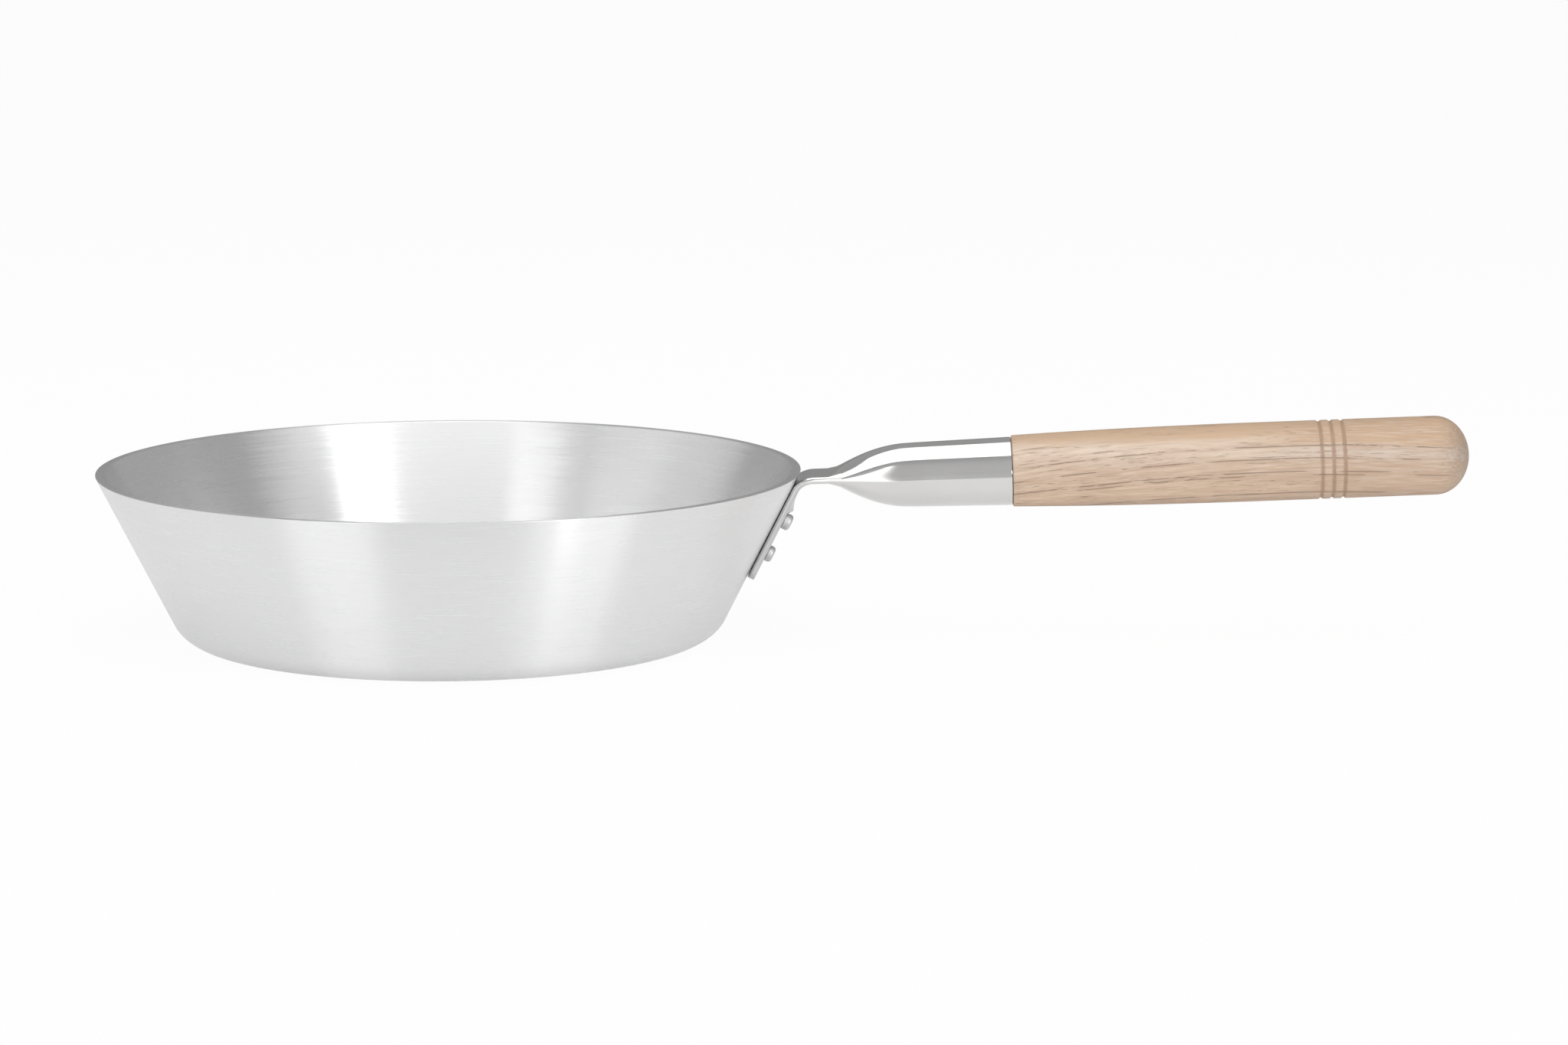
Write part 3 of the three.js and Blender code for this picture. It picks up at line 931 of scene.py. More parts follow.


# %% [markdown]
# ## Spun aluminium
#
# Spinning and brushing leave fine scratches round the bowl. They spread a reflection along the wall, from
# base to rim, and keep it narrow round the bowl, which gives the bright upright bands. The Principled
# shader does this with anisotropy: its direction follows a tangent round Z, turned by a quarter so that the
# wide side of the highlight lies across the scratches. Streaks are noise drawn out round the bowl. A coarser
# noise swings the surface a little to either side, more so inside, and breaks the edges of the bands into
# hairs. Beside the strap the wall's colour is painted darker: painted shade and a painted reflection of the
# strap.

# %% Scratches round the bowl
FINE_STREAKS = (45.0, 45.0, 2200.0)
HAIR_STREAKS = (18.0, 18.0, 1500.0)
SCRATCH_DEPTH = 0.003 * MM
INSIDE_SWING = 0.1
OUTSIDE_SWING = 0.025
WALL_TURN = 0.1


def scratches(tree, place):
    """Fine streaks and coarser hairs, drawn out round the bowl on the wall as on the base."""
    x, y, z = parts(tree, place)
    lane = math_node(tree, "ADD", z, from_axis(tree, place))
    track = joined(tree, x, y, lane)
    fine = noise_node(tree, stretch(tree, track, FINE_STREAKS), detail=3.0, roughness=0.6)
    hair = noise_node(tree, stretch(tree, track, HAIR_STREAKS))
    return fine, hair


def swung_normal(tree, fine, hair, facing_up, tangent):
    """The surface's normal, bent by the fine streaks and swung aside along the hairs."""
    reach = ramp_node(tree, facing_up, -WALL_TURN, WALL_TURN, OUTSIDE_SWING, INSIDE_SWING)
    aside = vector_node(tree, "MULTIPLY", tangent, times(tree, centred(tree, hair), reach))
    swung = vector_node(tree, "ADD", bump_node(tree, fine, SCRATCH_DEPTH), aside)
    return vector_node(tree, "NORMALIZE", swung)


# %% Painted shade beside the strap
WALL_SHADE_GREY = (0.5, 0.5, 0.505, 1)
WALL_SHADE_REACH = 32 * MM
WALL_SHADE_FOOT = 14 * MM
WALL_SHADE_FULL = 28 * MM
WALL_SHADE_FALL = 1.6
WALL_SHADE_STRENGTH = 0.8


def wall_shade_by_strap(tree, place, facing_up):
    """Share of the painted shade: on the outside of the wall, and fading out away from the strap and the
    base.
    """
    x, y, z = parts(tree, place)
    strap_edge = NECK_WIDTH / 2
    from_strap = math_node(tree, "ABSOLUTE", y)
    close = ramp_node(tree, from_strap, strap_edge, strap_edge + WALL_SHADE_REACH, 1.0, 0.0)
    outside = ramp_node(tree, facing_up, -WALL_TURN, WALL_TURN, 1.0, 0.0)
    on_wall = ramp_node(tree, z, WALL_SHADE_FOOT, WALL_SHADE_FULL)
    at_handle = times(tree, math_node(tree, "GREATER_THAN", x, 0.0), on_wall)
    near_strap = times(tree, times(tree, close, outside), at_handle)
    return times(tree, math_node(tree, "POWER", near_strap, WALL_SHADE_FALL), WALL_SHADE_STRENGTH)


# %% Brushed bowl
BRUSH_ROUGHNESS = (0.27, 0.33)
BRUSH_ANISOTROPY = 1.0
QUARTER_TURN = 0.25
ALUMINIUM_DARK = (0.87, 0.87, 0.875, 1)
ALUMINIUM_LIGHT = (0.895, 0.895, 0.9, 1)


def spun_aluminium():
    """Satin aluminium with scratches round the axis of the bowl."""
    finish, tree, shader = new_finish("spun_aluminium")
    coordinates = add(tree, "ShaderNodeTexCoord")
    place = coordinates.outputs["Object"]
    facing_up = parts(tree, coordinates.outputs["Normal"])[2]
    tangent = add(tree, "ShaderNodeTangent", direction_type="RADIAL", axis="Z").outputs[0]
    fine, hair = scratches(tree, place)
    colour = mix_colour(tree, ramp_node(tree, fine, *NOISE_SPREAD), ALUMINIUM_DARK, ALUMINIUM_LIGHT)
    # The wall beside the strap is painted darker, as shade and the strap's reflection.
    colour = mix_colour(tree, wall_shade_by_strap(tree, place, facing_up), colour, WALL_SHADE_GREY)
    join(tree, colour, shader.inputs["Base Color"])
    join(tree, ramp_node(tree, fine, *NOISE_SPREAD, *BRUSH_ROUGHNESS), shader.inputs["Roughness"])
    join(tree, tangent, shader.inputs["Tangent"])
    join(tree, swung_normal(tree, fine, hair, facing_up, tangent), shader.inputs["Normal"])
    shader.inputs["Metallic"].default_value = 1.0
    shader.inputs["Anisotropic"].default_value = BRUSH_ANISOTROPY
    shader.inputs["Anisotropic Rotation"].default_value = QUARTER_TURN
    return finish


wear(bowl, spun_aluminium())

# %% [markdown]
# ## Polished steel, rivets and pin
#
# The tube is buffed until it mirrors the room, with a faint haze where the buffing wheel passed. The strap is
# duller, as the wheel doesn't reach it well beside the wall, and its colour is painted greyer as shade there.
# The rivets are softer aluminium with a satin skin and small dents from setting, and the pin is plain steel
# made in the same way.

# %% Polished tube
HAZE_SCALE = 55.0
HAZE_SPREAD = (0.3, 0.75)
BUFF_LINES = (60.0, 900.0, 900.0)
BUFF_DEPTH = 0.004 * MM
BUFFED_ROUGHNESS = (0.06, 0.13)
STEEL_DARK = (0.70, 0.69, 0.685, 1)
STEEL_LIGHT = (0.76, 0.755, 0.75, 1)
STRAP_DULL = 0.13
STRAP_SHADE_GREY = (0.62, 0.62, 0.62, 1)


def polished_steel():
    """Bright steel with slight haze, faint lines along the handle and a duller strap in painted shade."""
    finish, tree, shader = new_finish("polished_steel")
    place = add(tree, "ShaderNodeTexCoord").outputs["Object"]
    haze = noise_node(tree, place, scale=HAZE_SCALE, detail=3.0)
    lines = noise_node(tree, stretch(tree, place, BUFF_LINES))
    on_strap = ramp_node(tree, parts(tree, place)[0], bend_head.x, bend_foot.x)
    buffed = ramp_node(tree, haze, *HAZE_SPREAD, *BUFFED_ROUGHNESS)
    rough = math_node(tree, "ADD", buffed, times(tree, on_strap, STRAP_DULL))
    bright = mix_colour(tree, haze, STEEL_DARK, STEEL_LIGHT)
    # The strap's colour is painted greyer, as shade beside the wall.
    join(tree, mix_colour(tree, on_strap, bright, STRAP_SHADE_GREY), shader.inputs["Base Color"])
    join(tree, rough, shader.inputs["Roughness"])
    join(tree, bump_node(tree, lines, BUFF_DEPTH), shader.inputs["Normal"])
    shader.inputs["Metallic"].default_value = 1.0
    return finish


wear(tube, polished_steel())

# %% Satin rivets and plain pin
METAL_GRAIN_SCALE = 2600.0
METAL_GRAIN_SHADE = 0.9
METAL_GRAIN_HEIGHT = 0.15
DENT_SCALE = 420.0
SATIN_SPREAD = 0.06
RIVET_COLOUR = (0.66, 0.655, 0.655)
RIVET_ROUGHNESS = 0.48
RIVET_DENT = 0.04 * MM
PIN_COLOUR = (0.66, 0.66, 0.66)
PIN_ROUGHNESS = 0.3
PIN_DENT = 0.02 * MM


def satin_metal(name, colour, roughness, dent):
    """A soft metal with a fine grain and shallow dents."""
    finish, tree, shader = new_finish(name)
    place = add(tree, "ShaderNodeTexCoord").outputs["Object"]
    grain = noise_node(tree, place, scale=METAL_GRAIN_SCALE, detail=3.0)
    dents = noise_node(tree, place, scale=DENT_SCALE)
    dark = [METAL_GRAIN_SHADE * part for part in colour]
    rough = ramp_node(tree, grain, *NOISE_SPREAD, roughness - SATIN_SPREAD, roughness + SATIN_SPREAD)
    relief = math_node(tree, "ADD", dents, times(tree, grain, METAL_GRAIN_HEIGHT))
    join(tree, mix_colour(tree, grain, (*dark, 1), (*colour, 1)), shader.inputs["Base Color"])
    join(tree, rough, shader.inputs["Roughness"])
    join(tree, bump_node(tree, relief, dent), shader.inputs["Normal"])
    shader.inputs["Metallic"].default_value = 1.0
    return finish


rivet_finish = satin_metal("rivet_aluminium", RIVET_COLOUR, RIVET_ROUGHNESS, RIVET_DENT)
for rivet in rivets:
    wear(rivet, rivet_finish)
wear(pin, satin_metal("pin_steel", PIN_COLOUR, PIN_ROUGHNESS, PIN_DENT))

# %% [markdown]
# ## Pale wood
#
# The grip's grain runs along its axis and rises a little from the shoulder, then levels off. A Mapping node
# puts the pattern on the grip's own axis: X runs from the shoulder to the butt, Z points up. Noise drawn out
# along X makes broad tones, patches, streaks and fibres. A few growth lines lie at chosen heights of the
# grain, thinner lines run between them, and both break into strokes, as open pores do. Over this lie painted
# light and shade: a pale strip high up, darker wood low down, in a middle strip, underneath and towards the
# butt, a warm dark strip along the top, and a darker butt. Near the butt a worn strip, partly painted sheen,
# and flecks are laid on, and the grooves hold dirt.

# %% Wood colours
WOOD_LIGHT = (0.675, 0.524, 0.404, 1)
WOOD_MID = (0.595, 0.447, 0.332, 1)
# Pale wood; it also paints the lit strip high up on the grip.
WOOD_PALE_AND_LIT = (0.755, 0.624, 0.512, 1)
# Dark wood; it also paints shade low down, underneath and towards the butt.
WOOD_DARK_AND_SHADE = (0.49, 0.345, 0.25, 1)
WOOD_ROSE = (0.61, 0.473, 0.375, 1)
# Painted shade along the top edge.
WOOD_TOP_SHADE = (0.58, 0.385, 0.235, 1)
# Painted shade on the low side of the grip.
WOOD_LOW_SHADE = (0.66, 0.465, 0.315, 1)
# Worn wood, also painted as sheen on a strip near the butt, and pale flecks.
WOOD_WORN_AND_SHEEN = (0.67, 0.575, 0.495, 1)
WOOD_LINE = (0.17, 0.115, 0.085, 1)
WOOD_PORE = (0.27, 0.185, 0.135, 1)
WOOD_GROOVE = (0.38, 0.25, 0.165, 1)
# Painted shade on the rounded butt.
WOOD_BUTT_SHADE = (0.19, 0.155, 0.13, 1)

# %% Place in the grain
GRAIN_RISE = math.tan(math.radians(6.5))
GRAIN_CREST = 100 * MM
WANDER = 1.4 * MM
WANDER_GRAIN = (22, 90, 90)


def grain_place(tree):
    """Distance along the grip, height on it, height in the curved grain, and a place in that grain."""
    own = add(tree, "ShaderNodeMapping", vector_type="TEXTURE")
    join(tree, add(tree, "ShaderNodeTexCoord").outputs["Object"], own.inputs["Vector"])
    own.inputs["Location"].default_value = socket_mouth + FIT_GAP * ahead(axis_heading)
    own.inputs["Rotation"].default_value = (0, -axis_heading, 0)
    along, aside, up = parts(tree, own.outputs[0])
    bow = times(tree, times(tree, along, along), 0.5 / GRAIN_CREST)
    rise = times(tree, math_node(tree, "SUBTRACT", along, bow), GRAIN_RISE)
    drift = noise_node(tree, stretch(tree, own.outputs[0], WANDER_GRAIN))
    sway = times(tree, centred(tree, drift), WANDER)
    layer = math_node(tree, "SUBTRACT", up, math_node(tree, "ADD", rise, sway))
    return along, up, layer, joined(tree, along, aside, layer)


# %% Tints and strips
def tinted(tree, colour, share, strength, tint):
    """Lays a tint over a colour, by a share and a strength."""
    return mix_colour(tree, times(tree, share, strength), colour, tint)


def band(tree, value, low, high, soft):
    """A share that is 1 between two values and fades out on either side."""
    return times(tree, ramp_node(tree, value, low - soft, low), ramp_node(tree, value, high + soft, high))


# %% [markdown]
# The scales of the grain are in waves per metre along the grip, across it and up. A row of the grain's tints
# says which noise it follows, where in the noise it starts and is full, its strength and its colour.

# %% Tones of the grain
GRAIN_SCALES = {
    "tone": (9, 120, 160),
    "patch": (16, 170, 240),
    "streak": (42, 700, 700),
    "fibre": (120, 2300, 2300),
    "fleck": (75, 1150, 1150),
}
TONE_SPREAD = (0.35, 0.65)
GRAIN_TINTS = (
    ("patch", 0.5, 0.66, 0.6, WOOD_ROSE),
    ("streak", 0.5, 0.68, 0.75, WOOD_DARK_AND_SHADE),
    ("streak", 0.5, 0.32, 0.75, WOOD_PALE_AND_LIT),
    ("fibre", 0.5, 0.7, 0.65, WOOD_DARK_AND_SHADE),
    ("fibre", 0.5, 0.32, 0.55, WOOD_PALE_AND_LIT),
)


def grain_noise(tree, grain, scale):
    """Noise drawn out along the grain."""
    return noise_node(tree, stretch(tree, grain, scale), detail=4.0, roughness=0.6)


def grain_tones(tree, noises):
    """The wood's colour from its noises alone."""
    colour = mix_colour(tree, ramp_node(tree, noises["tone"], *TONE_SPREAD), WOOD_MID, WOOD_LIGHT)
    for name, start, full, strength, tint in GRAIN_TINTS:
        colour = tinted(tree, colour, ramp_node(tree, noises[name], start, full), strength, tint)
    return colour


# %% [markdown]
# A row of the painted light and shade goes along the grip or up it. Where it has a softness, it is a strip
# between two places with soft sides. Where it has none, it starts at the first place, is full at the second
# and stays on.

# %% Painted light and shade by place
PAINTED_LIGHT_TINTS = (
    # Rows: a painted lit strip, painted shade towards the butt, low down, in a middle strip and underneath.
    ("up", 5 * MM, 11 * MM, 4 * MM, 0.35, WOOD_PALE_AND_LIT),
    ("along", 85 * MM, 150 * MM, None, 0.55, WOOD_DARK_AND_SHADE),
    ("up", 3 * MM, -9 * MM, None, 0.4, WOOD_LOW_SHADE),
    ("up", -4 * MM, 3 * MM, 3 * MM, 0.16, WOOD_DARK_AND_SHADE),
    ("up", -10.5 * MM, -15 * MM, None, 0.75, WOOD_DARK_AND_SHADE),
)


def painted_light_by_place(tree, colour, along, up):
    """Painted light and shade: pale and dark strips by height, and a darker half towards the butt."""
    places = {"along": along, "up": up}
    for name, start, end, soft, strength, tint in PAINTED_LIGHT_TINTS:
        if soft:
            share = band(tree, places[name], start, end, soft)
        else:
            share = ramp_node(tree, places[name], start, end)
        colour = tinted(tree, colour, share, strength, tint)
    return colour


# %% Painted shade along the top, and worn wood near the butt
NEAR_BUTT_FROM = (85 * MM, 125 * MM)
TOP_STRIP = (13.6 * MM, 16 * MM)
TOP_WAVE = 6 * MM
TOP_SHADE_FROM = 2.2 * MM
TOP_SHADE_EDGE = 1.5 * MM
TOP_SHADE_SHARE = 0.9
TOP_SHADE_STREAKS = (0.7, 0.3)
TOP_SHADE_STRENGTH = (0.5, 0.9)
WORN_SHEEN_STRIP = (TOP_SHADE_FROM - 5 * MM, TOP_SHADE_FROM - 1 * MM, 1 * MM)
WORN_SHEEN_STREAKS = (0.7, 0.4)
WORN_SHEEN_STRENGTH = 0.5
DARK_FLECKS = (0.5, 0.64)
DARK_FLECK_STRENGTH = 0.55
PALE_FLECKS = (0.5, 0.36)
PALE_FLECK_STRENGTH = 0.38


def top_shade_and_wear(tree, colour, noises, along, up, layer):
    """Painted shade as a warm strip along the top, and towards the butt a worn strip, partly painted sheen,
    and flecks.
    """
    to_butt = ramp_node(tree, along, *NEAR_BUTT_FROM)
    height = math_node(tree, "ADD", up, times(tree, noises["tone"], TOP_WAVE))
    top_shade_layers = times(tree, to_butt, ramp_node(tree, layer, TOP_SHADE_FROM, TOP_SHADE_FROM + TOP_SHADE_EDGE))
    top_strip = ramp_node(tree, height, *TOP_STRIP)
    top_shade = math_node(tree, "MAXIMUM", top_strip, times(tree, top_shade_layers, TOP_SHADE_SHARE))
    shade_amount = ramp_node(tree, noises["streak"], *TOP_SHADE_STREAKS, *TOP_SHADE_STRENGTH)
    # The top edge is painted a darker warm shade.
    colour = tinted(tree, colour, top_shade, shade_amount, WOOD_TOP_SHADE)
    # A worn strip near the butt, partly painted sheen.
    worn_sheen_layers = times(tree, to_butt, band(tree, layer, *WORN_SHEEN_STRIP))
    worn_and_sheen = times(tree, worn_sheen_layers, ramp_node(tree, noises["streak"], *WORN_SHEEN_STREAKS))
    colour = tinted(tree, colour, worn_and_sheen, WORN_SHEEN_STRENGTH, WOOD_WORN_AND_SHEEN)
    dark = times(tree, to_butt, ramp_node(tree, noises["fleck"], *DARK_FLECKS))
    colour = tinted(tree, colour, dark, DARK_FLECK_STRENGTH, WOOD_DARK_AND_SHADE)
    pale = times(tree, to_butt, ramp_node(tree, noises["fleck"], *PALE_FLECKS))
    return tinted(tree, colour, pale, PALE_FLECK_STRENGTH, WOOD_WORN_AND_SHEEN)


# %% [markdown]
# The growth lines are given as heights in the grain at the shoulder. A line is drawn from the distance to
# it: noise adds to that distance here and there, so the line thins out, ends and starts again.

# %% Growth lines and side lines
GROWTH_LINES = (2.2 * MM, -2.7 * MM, -7.8 * MM, -9.2 * MM, -17 * MM)
LINE_HALF_WIDTH = 0.32 * MM
LINE_BREAKS = (48, 300, 300)
LINE_GAPS = 0.39
LINE_TAPER = 0.12
RIM_WIDTHS = 4
FAR_AWAY = 1.0
SIDE_LINES = (3.0, 150, 260)
SIDE_LINE_WIDTH = 0.014
SIDE_LINE_GAPS = 0.51


def strokes(tree, grain, distance, width, gaps):
    """Thin dark strokes with tapered ends along a line, from the distance to it, and a soft rim on them."""
    breaks = grain_noise(tree, grain, LINE_BREAKS)
    missing = ramp_node(tree, breaks, gaps + LINE_TAPER, gaps, 0.0, 2 * width)
    thinned = math_node(tree, "ADD", distance, missing)
    line = ramp_node(tree, thinned, 0.0, width, 1.0, 0.0)
    rim = ramp_node(tree, thinned, 0.0, RIM_WIDTHS * width, 1.0, 0.0)
    return line, rim


def growth_lines(tree, grain, layer):
    """Strokes along the chosen heights of the grain."""
    nearest = FAR_AWAY
    for height in GROWTH_LINES:
        away = math_node(tree, "ABSOLUTE", math_node(tree, "SUBTRACT", layer, height))
        nearest = math_node(tree, "MINIMUM", away, nearest)
    return strokes(tree, grain, nearest, LINE_HALF_WIDTH, LINE_GAPS)


def side_lines(tree, grain):
    """Strokes where a drawn-out noise crosses its middle."""
    field = noise_node(tree, stretch(tree, grain, SIDE_LINES), detail=3.0, roughness=0.45)
    ridge = math_node(tree, "ABSOLUTE", centred(tree, field))
    return strokes(tree, grain, ridge, SIDE_LINE_WIDTH, SIDE_LINE_GAPS)


# %% Lines and pores on the wood
PORE_GRAIN = (170, 2600, 2600)
PORE_SPREAD = (0.61, 0.7)
PORE_PATCHES = (0.46, 0.6)
LINES_END = (GRIP_LENGTH - 16 * MM, GRIP_LENGTH - 5 * MM)
RIM_STRENGTH = 0.5
GROWTH_STRENGTH = 0.72
SIDE_STRENGTH = 0.5
PORE_STRENGTH = 0.55


def lined(tree, colour, noises, grain, along, layer):
    """Lines and pores laid over a colour, and the share of the surface that they cut."""
    growth, growth_rims = growth_lines(tree, grain, layer)
    sides, side_rims = side_lines(tree, grain)
    rims = math_node(tree, "MAXIMUM", growth_rims, side_rims)
    dashes = noise_node(tree, stretch(tree, grain, PORE_GRAIN), detail=1.0)
    in_patches = ramp_node(tree, noises["patch"], *PORE_PATCHES)
    pores = times(tree, ramp_node(tree, dashes, *PORE_SPREAD), in_patches)
    on_length = ramp_node(tree, along, *LINES_END, 1.0, 0.0)
    marks = (
        (rims, RIM_STRENGTH, WOOD_DARK_AND_SHADE),
        (growth, GROWTH_STRENGTH, WOOD_LINE),
        (sides, SIDE_STRENGTH, WOOD_LINE),
        (pores, PORE_STRENGTH, WOOD_PORE),
    )
    for mark, strength, tint in marks:
        colour = tinted(tree, colour, times(tree, mark, on_length), strength, tint)
    cuts = math_node(tree, "MAXIMUM", pores, math_node(tree, "MAXIMUM", growth, sides))
    return colour, cuts


# %% Dirt in the grooves and painted shade on the butt
DIRT_REACH = 0.6 * GROOVE_WIDTH
GROOVE_DIRT = 0.75
BUTT_SHADE_FADE = (GRIP_LENGTH - 15 * MM, GRIP_LENGTH + 1 * MM)
BUTT_SHADE_STRENGTH = 0.44


def dirt_and_butt_shade(tree, colour, along):
    """Dirt laid over a colour in the grooves, and painted shade on the rounded butt."""
    half_space = GROOVE_SPACING / 2
    grooves_start = first_groove - half_space
    grooves_end = grooves_start + GROOVE_SPACING * GROOVE_COUNT
    from_start = math_node(tree, "SUBTRACT", along, grooves_start)
    to_groove = math_node(tree, "PINGPONG", from_start, half_space)
    in_groove = ramp_node(tree, to_groove, half_space - DIRT_REACH, half_space)
    past_start = math_node(tree, "GREATER_THAN", from_start, 0.0)
    among = times(tree, past_start, math_node(tree, "LESS_THAN", along, grooves_end))
    colour = tinted(tree, colour, times(tree, in_groove, among), GROOVE_DIRT, WOOD_GROOVE)
    # The rounded butt is painted darker, as shade.
    return tinted(tree, colour, ramp_node(tree, along, *BUTT_SHADE_FADE), BUTT_SHADE_STRENGTH, WOOD_BUTT_SHADE)


# %% Pale wood
WOOD_ROUGHNESS = (0.68, 0.55)
FIBRE_HEIGHT = 0.35
SKIN_DEPTH = 0.1 * MM


def pale_wood():
    """Sanded pale hardwood with streaks, thin dark strokes and short open pores."""
    finish, tree, shader = new_finish("pale_wood")
    along, up, layer, grain = grain_place(tree)
    noises = {name: grain_noise(tree, grain, scale) for name, scale in GRAIN_SCALES.items()}
    colour = grain_tones(tree, noises)
    # Painted light and shade by place, then painted shade on the top and butt, over the grain's own tones.
    colour = painted_light_by_place(tree, colour, along, up)
    colour = top_shade_and_wear(tree, colour, noises, along, up, layer)
    colour, cuts = lined(tree, colour, noises, grain, along, layer)
    colour = dirt_and_butt_shade(tree, colour, along)
    rough = ramp_node(tree, noises["fibre"], *NOISE_SPREAD, *WOOD_ROUGHNESS)
    skin = math_node(tree, "SUBTRACT", times(tree, noises["fibre"], FIBRE_HEIGHT), cuts)
    join(tree, colour, shader.inputs["Base Color"])
    join(tree, rough, shader.inputs["Roughness"])
    join(tree, bump_node(tree, skin, SKIN_DEPTH), shader.inputs["Normal"])
    return finish


wear(grip, pale_wood())

# %% [markdown]
# ## Stage
#
# The pan stands on a wide white floor, which is all that the camera sees around it. The floor glows white
# for the camera and more weakly for mirrors, and plain reflected light makes up the rest, so the pan's
# shadow stays. Polished metal shows what surrounds it, and bare white would make it flat. So mirrors see a
# floor with a painted shadow at the pan's foot and painted shade behind it, and a grey room, lighter on the
# camera's side.


# %% Helpers for the stage's own materials
def stage_finish(name):
    """A material without nodes."""
    finish = bpy.data.materials.new(name)
    finish.use_nodes = True
    finish.node_tree.nodes.clear()
    return finish, finish.node_tree


def glowing(tree, radiance):
    """A plain white glow."""
    node = add(tree, "ShaderNodeEmission")
    node.inputs["Color"].default_value = (1, 1, 1, 1)
    node.inputs["Strength"].default_value = radiance
    return node.outputs[0]


def mix_shaders(tree, factor, first, second):
    """Mixes two shaders into the surface of a material."""
    blend = add(tree, "ShaderNodeMixShader")
    join(tree, factor, blend.inputs[0])
    join(tree, first, blend.inputs[1])
    join(tree, second, blend.inputs[2])
    join(tree, blend.outputs[0], add(tree, "ShaderNodeOutputMaterial").inputs["Surface"])


# %% White floor
FLOOR_SIZE = 14.0
FLOOR_DROP = 0.2 * MM
FLOOR_WHITE = (0.95, 0.95, 0.95, 1)
FLOOR_GLOW = 0.95
MIRROR_GLOW = 0.48
FOOT_GLOW = 0.25
FOOT_RING = (98 * MM, 136 * MM)
BACK_GLOW = 0.33
BACK_STRIP = (-0.04, 0.16)


def white_floor():
    """White that glows for the camera and for mirrors, and takes light and shadow besides."""
    finish, tree = stage_finish("white_floor")
    here = add(tree, "ShaderNodeTexCoord").outputs["Object"]
    path = add(tree, "ShaderNodeLightPath")
    mirrored = math_node(tree, "MAXIMUM", path.outputs["Is Glossy Ray"], path.outputs["Is Transmission Ray"])
    # For mirrors, a painted shadow at the pan's foot and painted shade behind it.
    at_foot = ramp_node(tree, from_axis(tree, here), *FOOT_RING, FOOT_GLOW, MIRROR_GLOW)
    behind = ramp_node(tree, parts(tree, here)[1], *BACK_STRIP, MIRROR_GLOW, BACK_GLOW)
    to_mirror = times(tree, mirrored, math_node(tree, "MINIMUM", at_foot, behind))
    to_camera = times(tree, path.outputs["Is Camera Ray"], FLOOR_GLOW)
    matt = add(tree, "ShaderNodeBsdfDiffuse")
    matt.inputs["Color"].default_value = FLOOR_WHITE
    share = math_node(tree, "MAXIMUM", to_camera, to_mirror)
    mix_shaders(tree, share, matt.outputs[0], glowing(tree, 1.0))
    return finish


start_fresh()
bpy.ops.mesh.primitive_plane_add(size=FLOOR_SIZE, location=(0, 0, -FLOOR_DROP))
floor = bpy.context.object
floor.name = "floor"
wear(floor, white_floor())

# %% Grey room
ROOM_GREY = 0.39
FRONT_GREY = 0.56
FRONT_SIDE = (-0.9, -0.4)
BEHIND_SHADE = 0.76
BEHIND_SIDE = (0.9, 0.97)

room = bpy.data.worlds.new("grey_room")
room.use_nodes = True
tree = room.node_tree
depth = parts(tree, add(tree, "ShaderNodeTexCoord").outputs["Generated"])[1]
grey = ramp_node(tree, depth, *FRONT_SIDE, FRONT_GREY, ROOM_GREY)
shade = ramp_node(tree, depth, *BEHIND_SIDE, 1.0, BEHIND_SHADE)
join(tree, times(tree, grey, shade), tree.nodes["Background"].inputs["Color"])
bpy.context.scene.world = room
print("room of grey", ROOM_GREY, "and", FRONT_GREY, "on the camera's side")

# %% [markdown]
# Only polished metal shows the next three things. A grey ground in front of the pan gives the tube's
# lower half its grey. A white card makes the bright spot where the tube flares open, and slants as the end
# of that spot does. A low pale card beside it lights the neck.

# %% Grey ground and two cards
GROUND_FRONT = -0.28
GROUND_REACH = 5.0
GROUND_LIFT = 1 * MM
GROUND_GREY = 0.58
CARD_PLACE = -0.25
CARD_LEFT = 0.146
CARD_RIGHT = 0.185
CARD_TOP = 0.33
CARD_WHITE = 2.3
CARD_SLANT = 0.085
CARD_FADE = 0.01
PALE_LEFT = 0.11
PALE_TOP = 0.15
PALE_WHITE = 1.0


def standing_card(name, left, right, top):
    """A card that stands on the ground in front of the handle."""
    start_fresh()
    bpy.ops.mesh.primitive_plane_add(size=1, location=((left + right) / 2, CARD_PLACE, top / 2))
    card = bpy.context.object
    card.name = name
    card.rotation_euler = (math.pi / 2, 0, 0)
    card.scale = (right - left, top, 1)
    bpy.ops.object.transform_apply(location=True, rotation=True, scale=True)
    return card


def glow_for_mirrors(card, radiance, slanted_end=None):
    """Makes a card glow for polished metal alone. It may fade out towards a slanted end on the right."""
    finish, tree = stage_finish(card.name)
    hidden = 0.0
    if slanted_end:
        x, _, z = parts(tree, add(tree, "ShaderNodeTexCoord").outputs["Object"])
        across = math_node(tree, "ADD", x, times(tree, z, CARD_SLANT))
        hidden = ramp_node(tree, across, slanted_end - CARD_FADE, slanted_end)
    clear = add(tree, "ShaderNodeBsdfTransparent").outputs[0]
    mix_shaders(tree, hidden, glowing(tree, radiance), clear)
    wear(card, finish)
    card.visible_camera = False
    card.visible_diffuse = False
    card.visible_transmission = False
    card.visible_shadow = False


start_fresh()
ground_middle = GROUND_FRONT - GROUND_REACH / 2
bpy.ops.mesh.primitive_plane_add(size=GROUND_REACH, location=(0, ground_middle, GROUND_LIFT))
ground = bpy.context.object
ground.name = "grey_ground"
glow_for_mirrors(ground, GROUND_GREY)
glow_for_mirrors(standing_card("white_card", CARD_LEFT, CARD_RIGHT, CARD_TOP), CARD_WHITE, CARD_RIGHT)
glow_for_mirrors(standing_card("pale_card", PALE_LEFT, CARD_LEFT, PALE_TOP), PALE_WHITE)

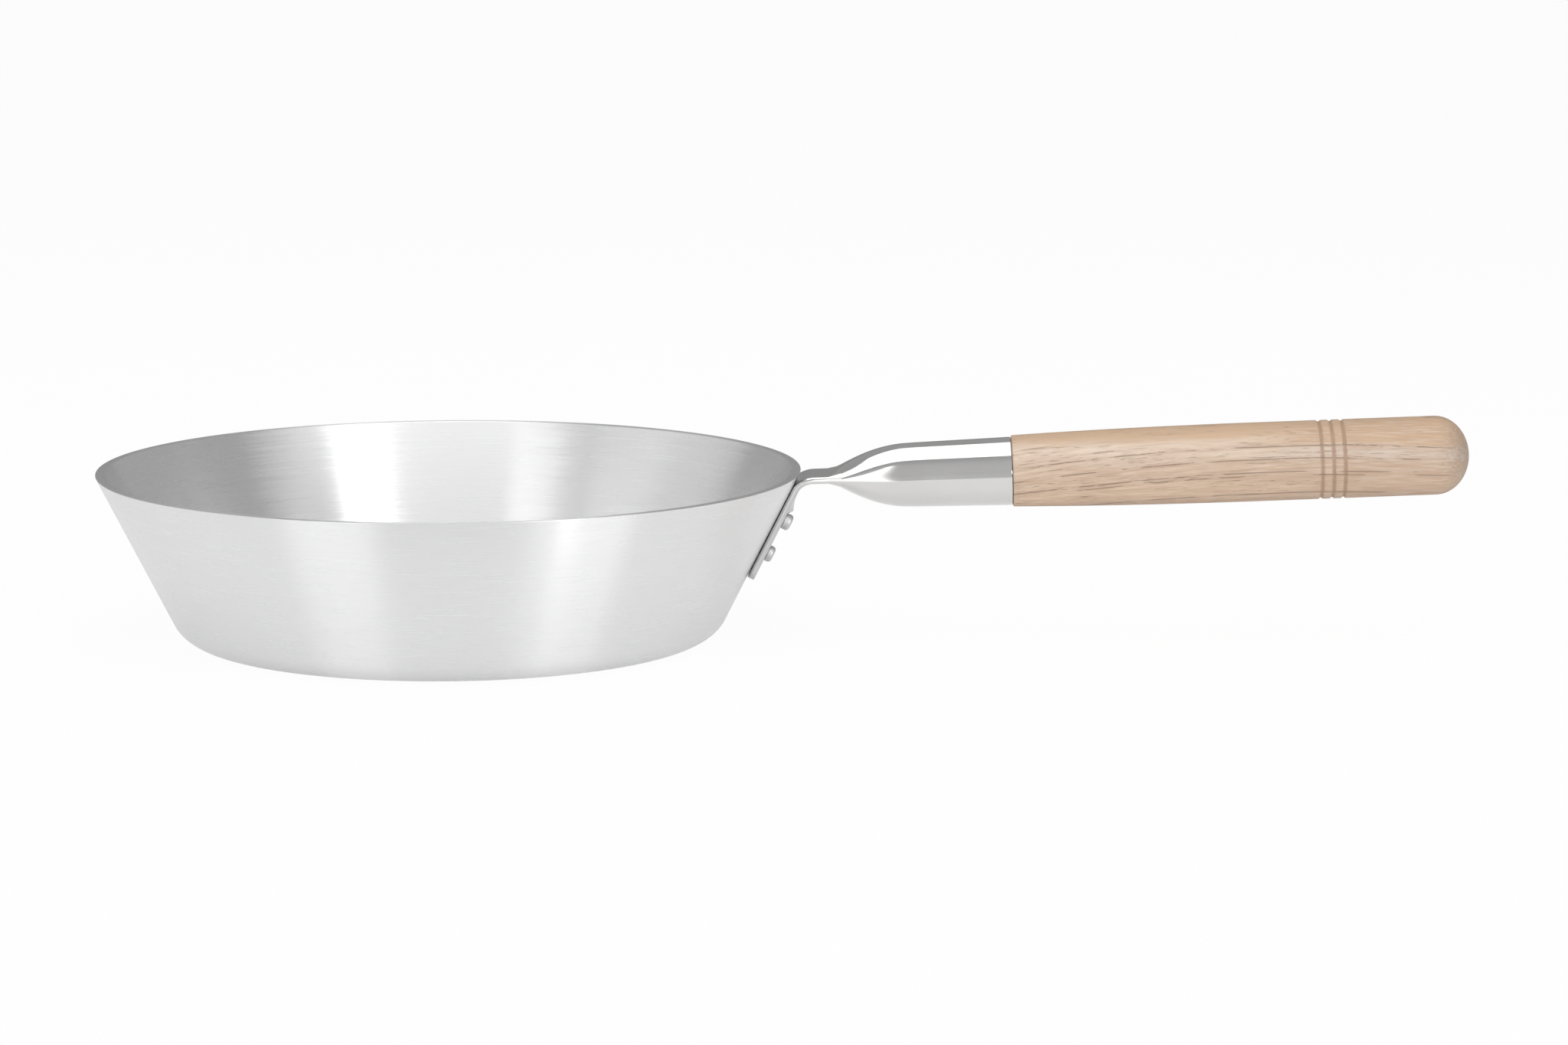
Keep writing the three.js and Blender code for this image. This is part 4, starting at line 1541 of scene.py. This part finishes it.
# %% [markdown]
# ## Softboxes
#
# Each upright band on the bowl is one softbox, drawn out by the scratches. So the boxes stand round the pan
# from one azimuth to another, counted in degrees from the camera's side and growing to the right. The wall
# leans, so its outside mirrors the low boxes and its inside the high ones. The soft and fill boxes make the
# greys between the bands, and one large box hangs overhead.


# %% Softboxes
def softbox(name, place, target, size, radiance):
    """A rectangular light that faces a target; its power gives it the wanted radiance."""
    lamp = bpy.data.lights.new(name, "AREA")
    lamp.shape = "RECTANGLE"
    lamp.size, lamp.size_y = size
    lamp.energy = radiance * math.pi * lamp.size * lamp.size_y
    holder = bpy.data.objects.new(name, lamp)
    bpy.context.scene.collection.objects.link(holder)
    holder.location = place
    holder.rotation_euler = (Vector(target) - Vector(place)).to_track_quat("-Z", "Y").to_euler()
    holder.visible_camera = False


STAND_DISTANCE = 1.8
LOW = (0.02, 0.8)
FOOT = (0.02, 0.3)
HIGH = (0.8, 2.6)
FILL = (0.8, 2.4)
STANDING_BOXES = (
    ("left_low", -49, -20, LOW, 2.6),
    ("right_low", 31, 48.5, LOW, 3.3),
    ("right_foot", 48.5, 62, FOOT, 6.0),
    ("left_high", -47, -24, HIGH, 0.78),
    ("right_high", 33, 51, HIGH, 2.2),
    ("right_soft", 51, 60, HIGH, 0.5),
    ("right_soft", 60, 69, HIGH, 0.35),
    ("right_soft", 69, 78, HIGH, 0.5),
    ("right_soft", 78, 87, HIGH, 0.45),
    ("left_fill", -92, -56, FILL, 0.74),
    ("far_left_fill", -135, -92, FILL, 0.45),
)

for name, left, right, (low, high), radiance in STANDING_BOXES:
    middle = math.radians(left + right) / 2
    width = 2 * STAND_DISTANCE * math.tan(math.radians(right - left) / 2)
    height = (low + high) / 2
    place = (STAND_DISTANCE * math.sin(middle), -STAND_DISTANCE * math.cos(middle), height)
    softbox(name, place, (0, 0, height), (width, high - low), radiance)

OVERHEAD_PLACE = (0.1, 0.05, 1.6)
OVERHEAD_SPOT = (0.1, 0.05, 0)
OVERHEAD_SIZE = (1.0, 1.8)
OVERHEAD_RADIANCE = 1.36
softbox("overhead_softbox", OVERHEAD_PLACE, OVERHEAD_SPOT, OVERHEAD_SIZE, OVERHEAD_RADIANCE)
print(len(STANDING_BOXES) + 1, "softboxes light the pan")

# %% [markdown]
# ## Camera
#
# The camera stands in front of the pan, a little above the rim, far off with a long lens. Its place and lens
# were fitted to the oval of the rim and the curve of the base. It looks along +Y, so only its pitch is set.

# %% Camera
CAMERA_PLACE = (0.13319, -2.10118, 0.38011)
CAMERA_PITCH = 0.1578
CAMERA_LENS = 122.56
SENSOR_WIDTH = 36

camera_data = bpy.data.cameras.new("camera")
camera_data.sensor_width = SENSOR_WIDTH
camera_data.lens = CAMERA_LENS
camera = bpy.data.objects.new("camera", camera_data)
bpy.context.scene.collection.objects.link(camera)
camera.location = CAMERA_PLACE
camera.rotation_euler = (math.pi / 2 - CAMERA_PITCH, 0, 0)
bpy.context.scene.camera = camera
bpy.context.scene.view_settings.view_transform = "Standard"
print("camera looks down by", round(math.degrees(CAMERA_PITCH), 1), "degrees")
